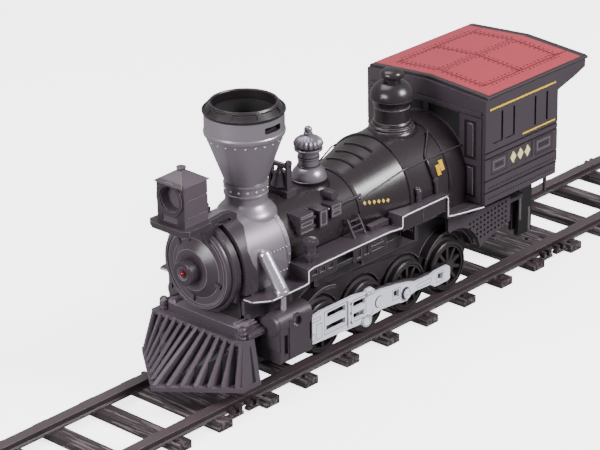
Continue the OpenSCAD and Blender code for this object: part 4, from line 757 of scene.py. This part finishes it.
# Painted shade: the recess in the cab front's pilasters is darker.
shaded_recess = cab_plastic.y.between(47.9, 48.3) * abs(cab_plastic.x).between(25.9, 33.7)
cab_plastic.coloured(shaded_recess * cab_plastic.z.between(58.4, 99.7), "1f1a1e")
moulded("cab", "engine", cab_plastic, cab_highlight, 0.25)
for side, hand in ((1, "left"), (-1, "right")):
    for name, low, high in (("lower", 60, 74.4), ("upper", 80.6, 98)):
        panel = bar(name + "_pilaster_panel_" + hand, (min(side * 27.9, side * 31.7), 47.5, low),
                    (max(side * 27.9, side * 31.7), 48.2, high))
        dressed(panel, "engine", cab_plastic, cab_highlight, 0.15)
# Painted shade: a near black sheet behind the front windows stands for the shade inside the cab.
shade_sheet = bar("front_window_shade_sheet", (-22.7, 49.3, 82), (22.7, 50.3, 101.7))
dressed(shade_sheet, "engine", near_black, edge=0)
roof_red = plastic("roof_red", "9a3440", 0.42, mottle=0.05)
roof_edge = plastic("roof_edges", "7a2a33", 0.42, mottle=0.05)
roof_border = (abs(roof_red.x) > 37.4 * mm) + (roof_red.y < 52.6 * mm) + (roof_red.y > 127.6 * mm)
seams = (abs(abs(roof_red.x) - 28 * mm) < 0.5 * mm) * roof_red.y.between(59.5, 125)
for length in (60, 89.6, 119.4):
    seams = seams + (abs(roof_red.y - length * mm) < 0.5 * mm) * (abs(roof_red.x) < 28 * mm)
seams = seams + (abs(roof_red.x) < 0.4 * mm) * roof_red.y.between(60, 119.4)
roof_red.coloured(seams, "5c1c25")
roof_red.coloured(roof_border, "2c2529")
border_again = (abs(roof_edge.x) > 37.4 * mm) + (roof_edge.y < 52.6 * mm) + (roof_edge.y > 127.6 * mm)
roof_edge.coloured(border_again, "4a4047")
moulded("roof", "engine", roof_red, roof_edge, 0.25)
seats = []
slope = 2.6 / 37.2
for side in (-1, 1):
    for row in (58, 62, 87.6, 91.6, 117.4, 121.4):
        for step in range(9):
            across = 3 + 3 * step
            seats.append(((side * across, row, 115.75 - slope * across), (side * slope, 0, 1)))
    for across in (2, 26, 30):
        for step in range(20):
            if across != 30 or step:
                seats.append(((side * across, 61.8 + 3 * step, 115.75 - slope * across), (side * slope, 0, 1)))
rivet_red = plastic("rivet_red", "4a151d", 0.42, mottle=0.05)
rivets("roof_rivets", seats, 0.55, "engine", rivet_red)
seats = []
for side in (-1, 1):
    for step in range(27):
        for height in (64.3, 58.6):
            seats.append(((side * 38.76, 51.5 + 2 * step, height), (side, 0, 0)))
rivets("cab_rivets", seats, 0.62, "engine", near_black)

# ---------- Battery box, board and speaker ----------
# Four cells lie in a box in the frame under a sliding lid, with the sound board beside them.
cell_wrap = plastic("cell_wrap", "3f5d86", 0.3)
contact_steel = plastic("contact_steel", "b9b7b5", 0.28, metallic=1.0)
board_green = plastic("board_green", "2f6a43", 0.4)
speaker_black = plastic("speaker_black", "222023", 0.6)
moulded("battery_box", "engine", frame_plastic, charcoal_highlight)
moulded("battery_cells", "engine", cell_wrap, edge=0.3)
moulded("battery_contacts", "engine", contact_steel, edge=0.05)
moulded("battery_cover", "battery_cover", charcoal, charcoal_highlight, 0.25)
moulded("circuit_board", "engine", board_green, edge=0.1)
moulded("speaker", "engine", speaker_black)
moulded("power_switch", "power_switch", charcoal, charcoal_highlight, 0.15)

# ---------- Drawbar ----------
# A flat plastic bar swings on a pin under the rear of the frame.
moulded("drawbar", "drawbar", charcoal, charcoal_highlight, 0.25)
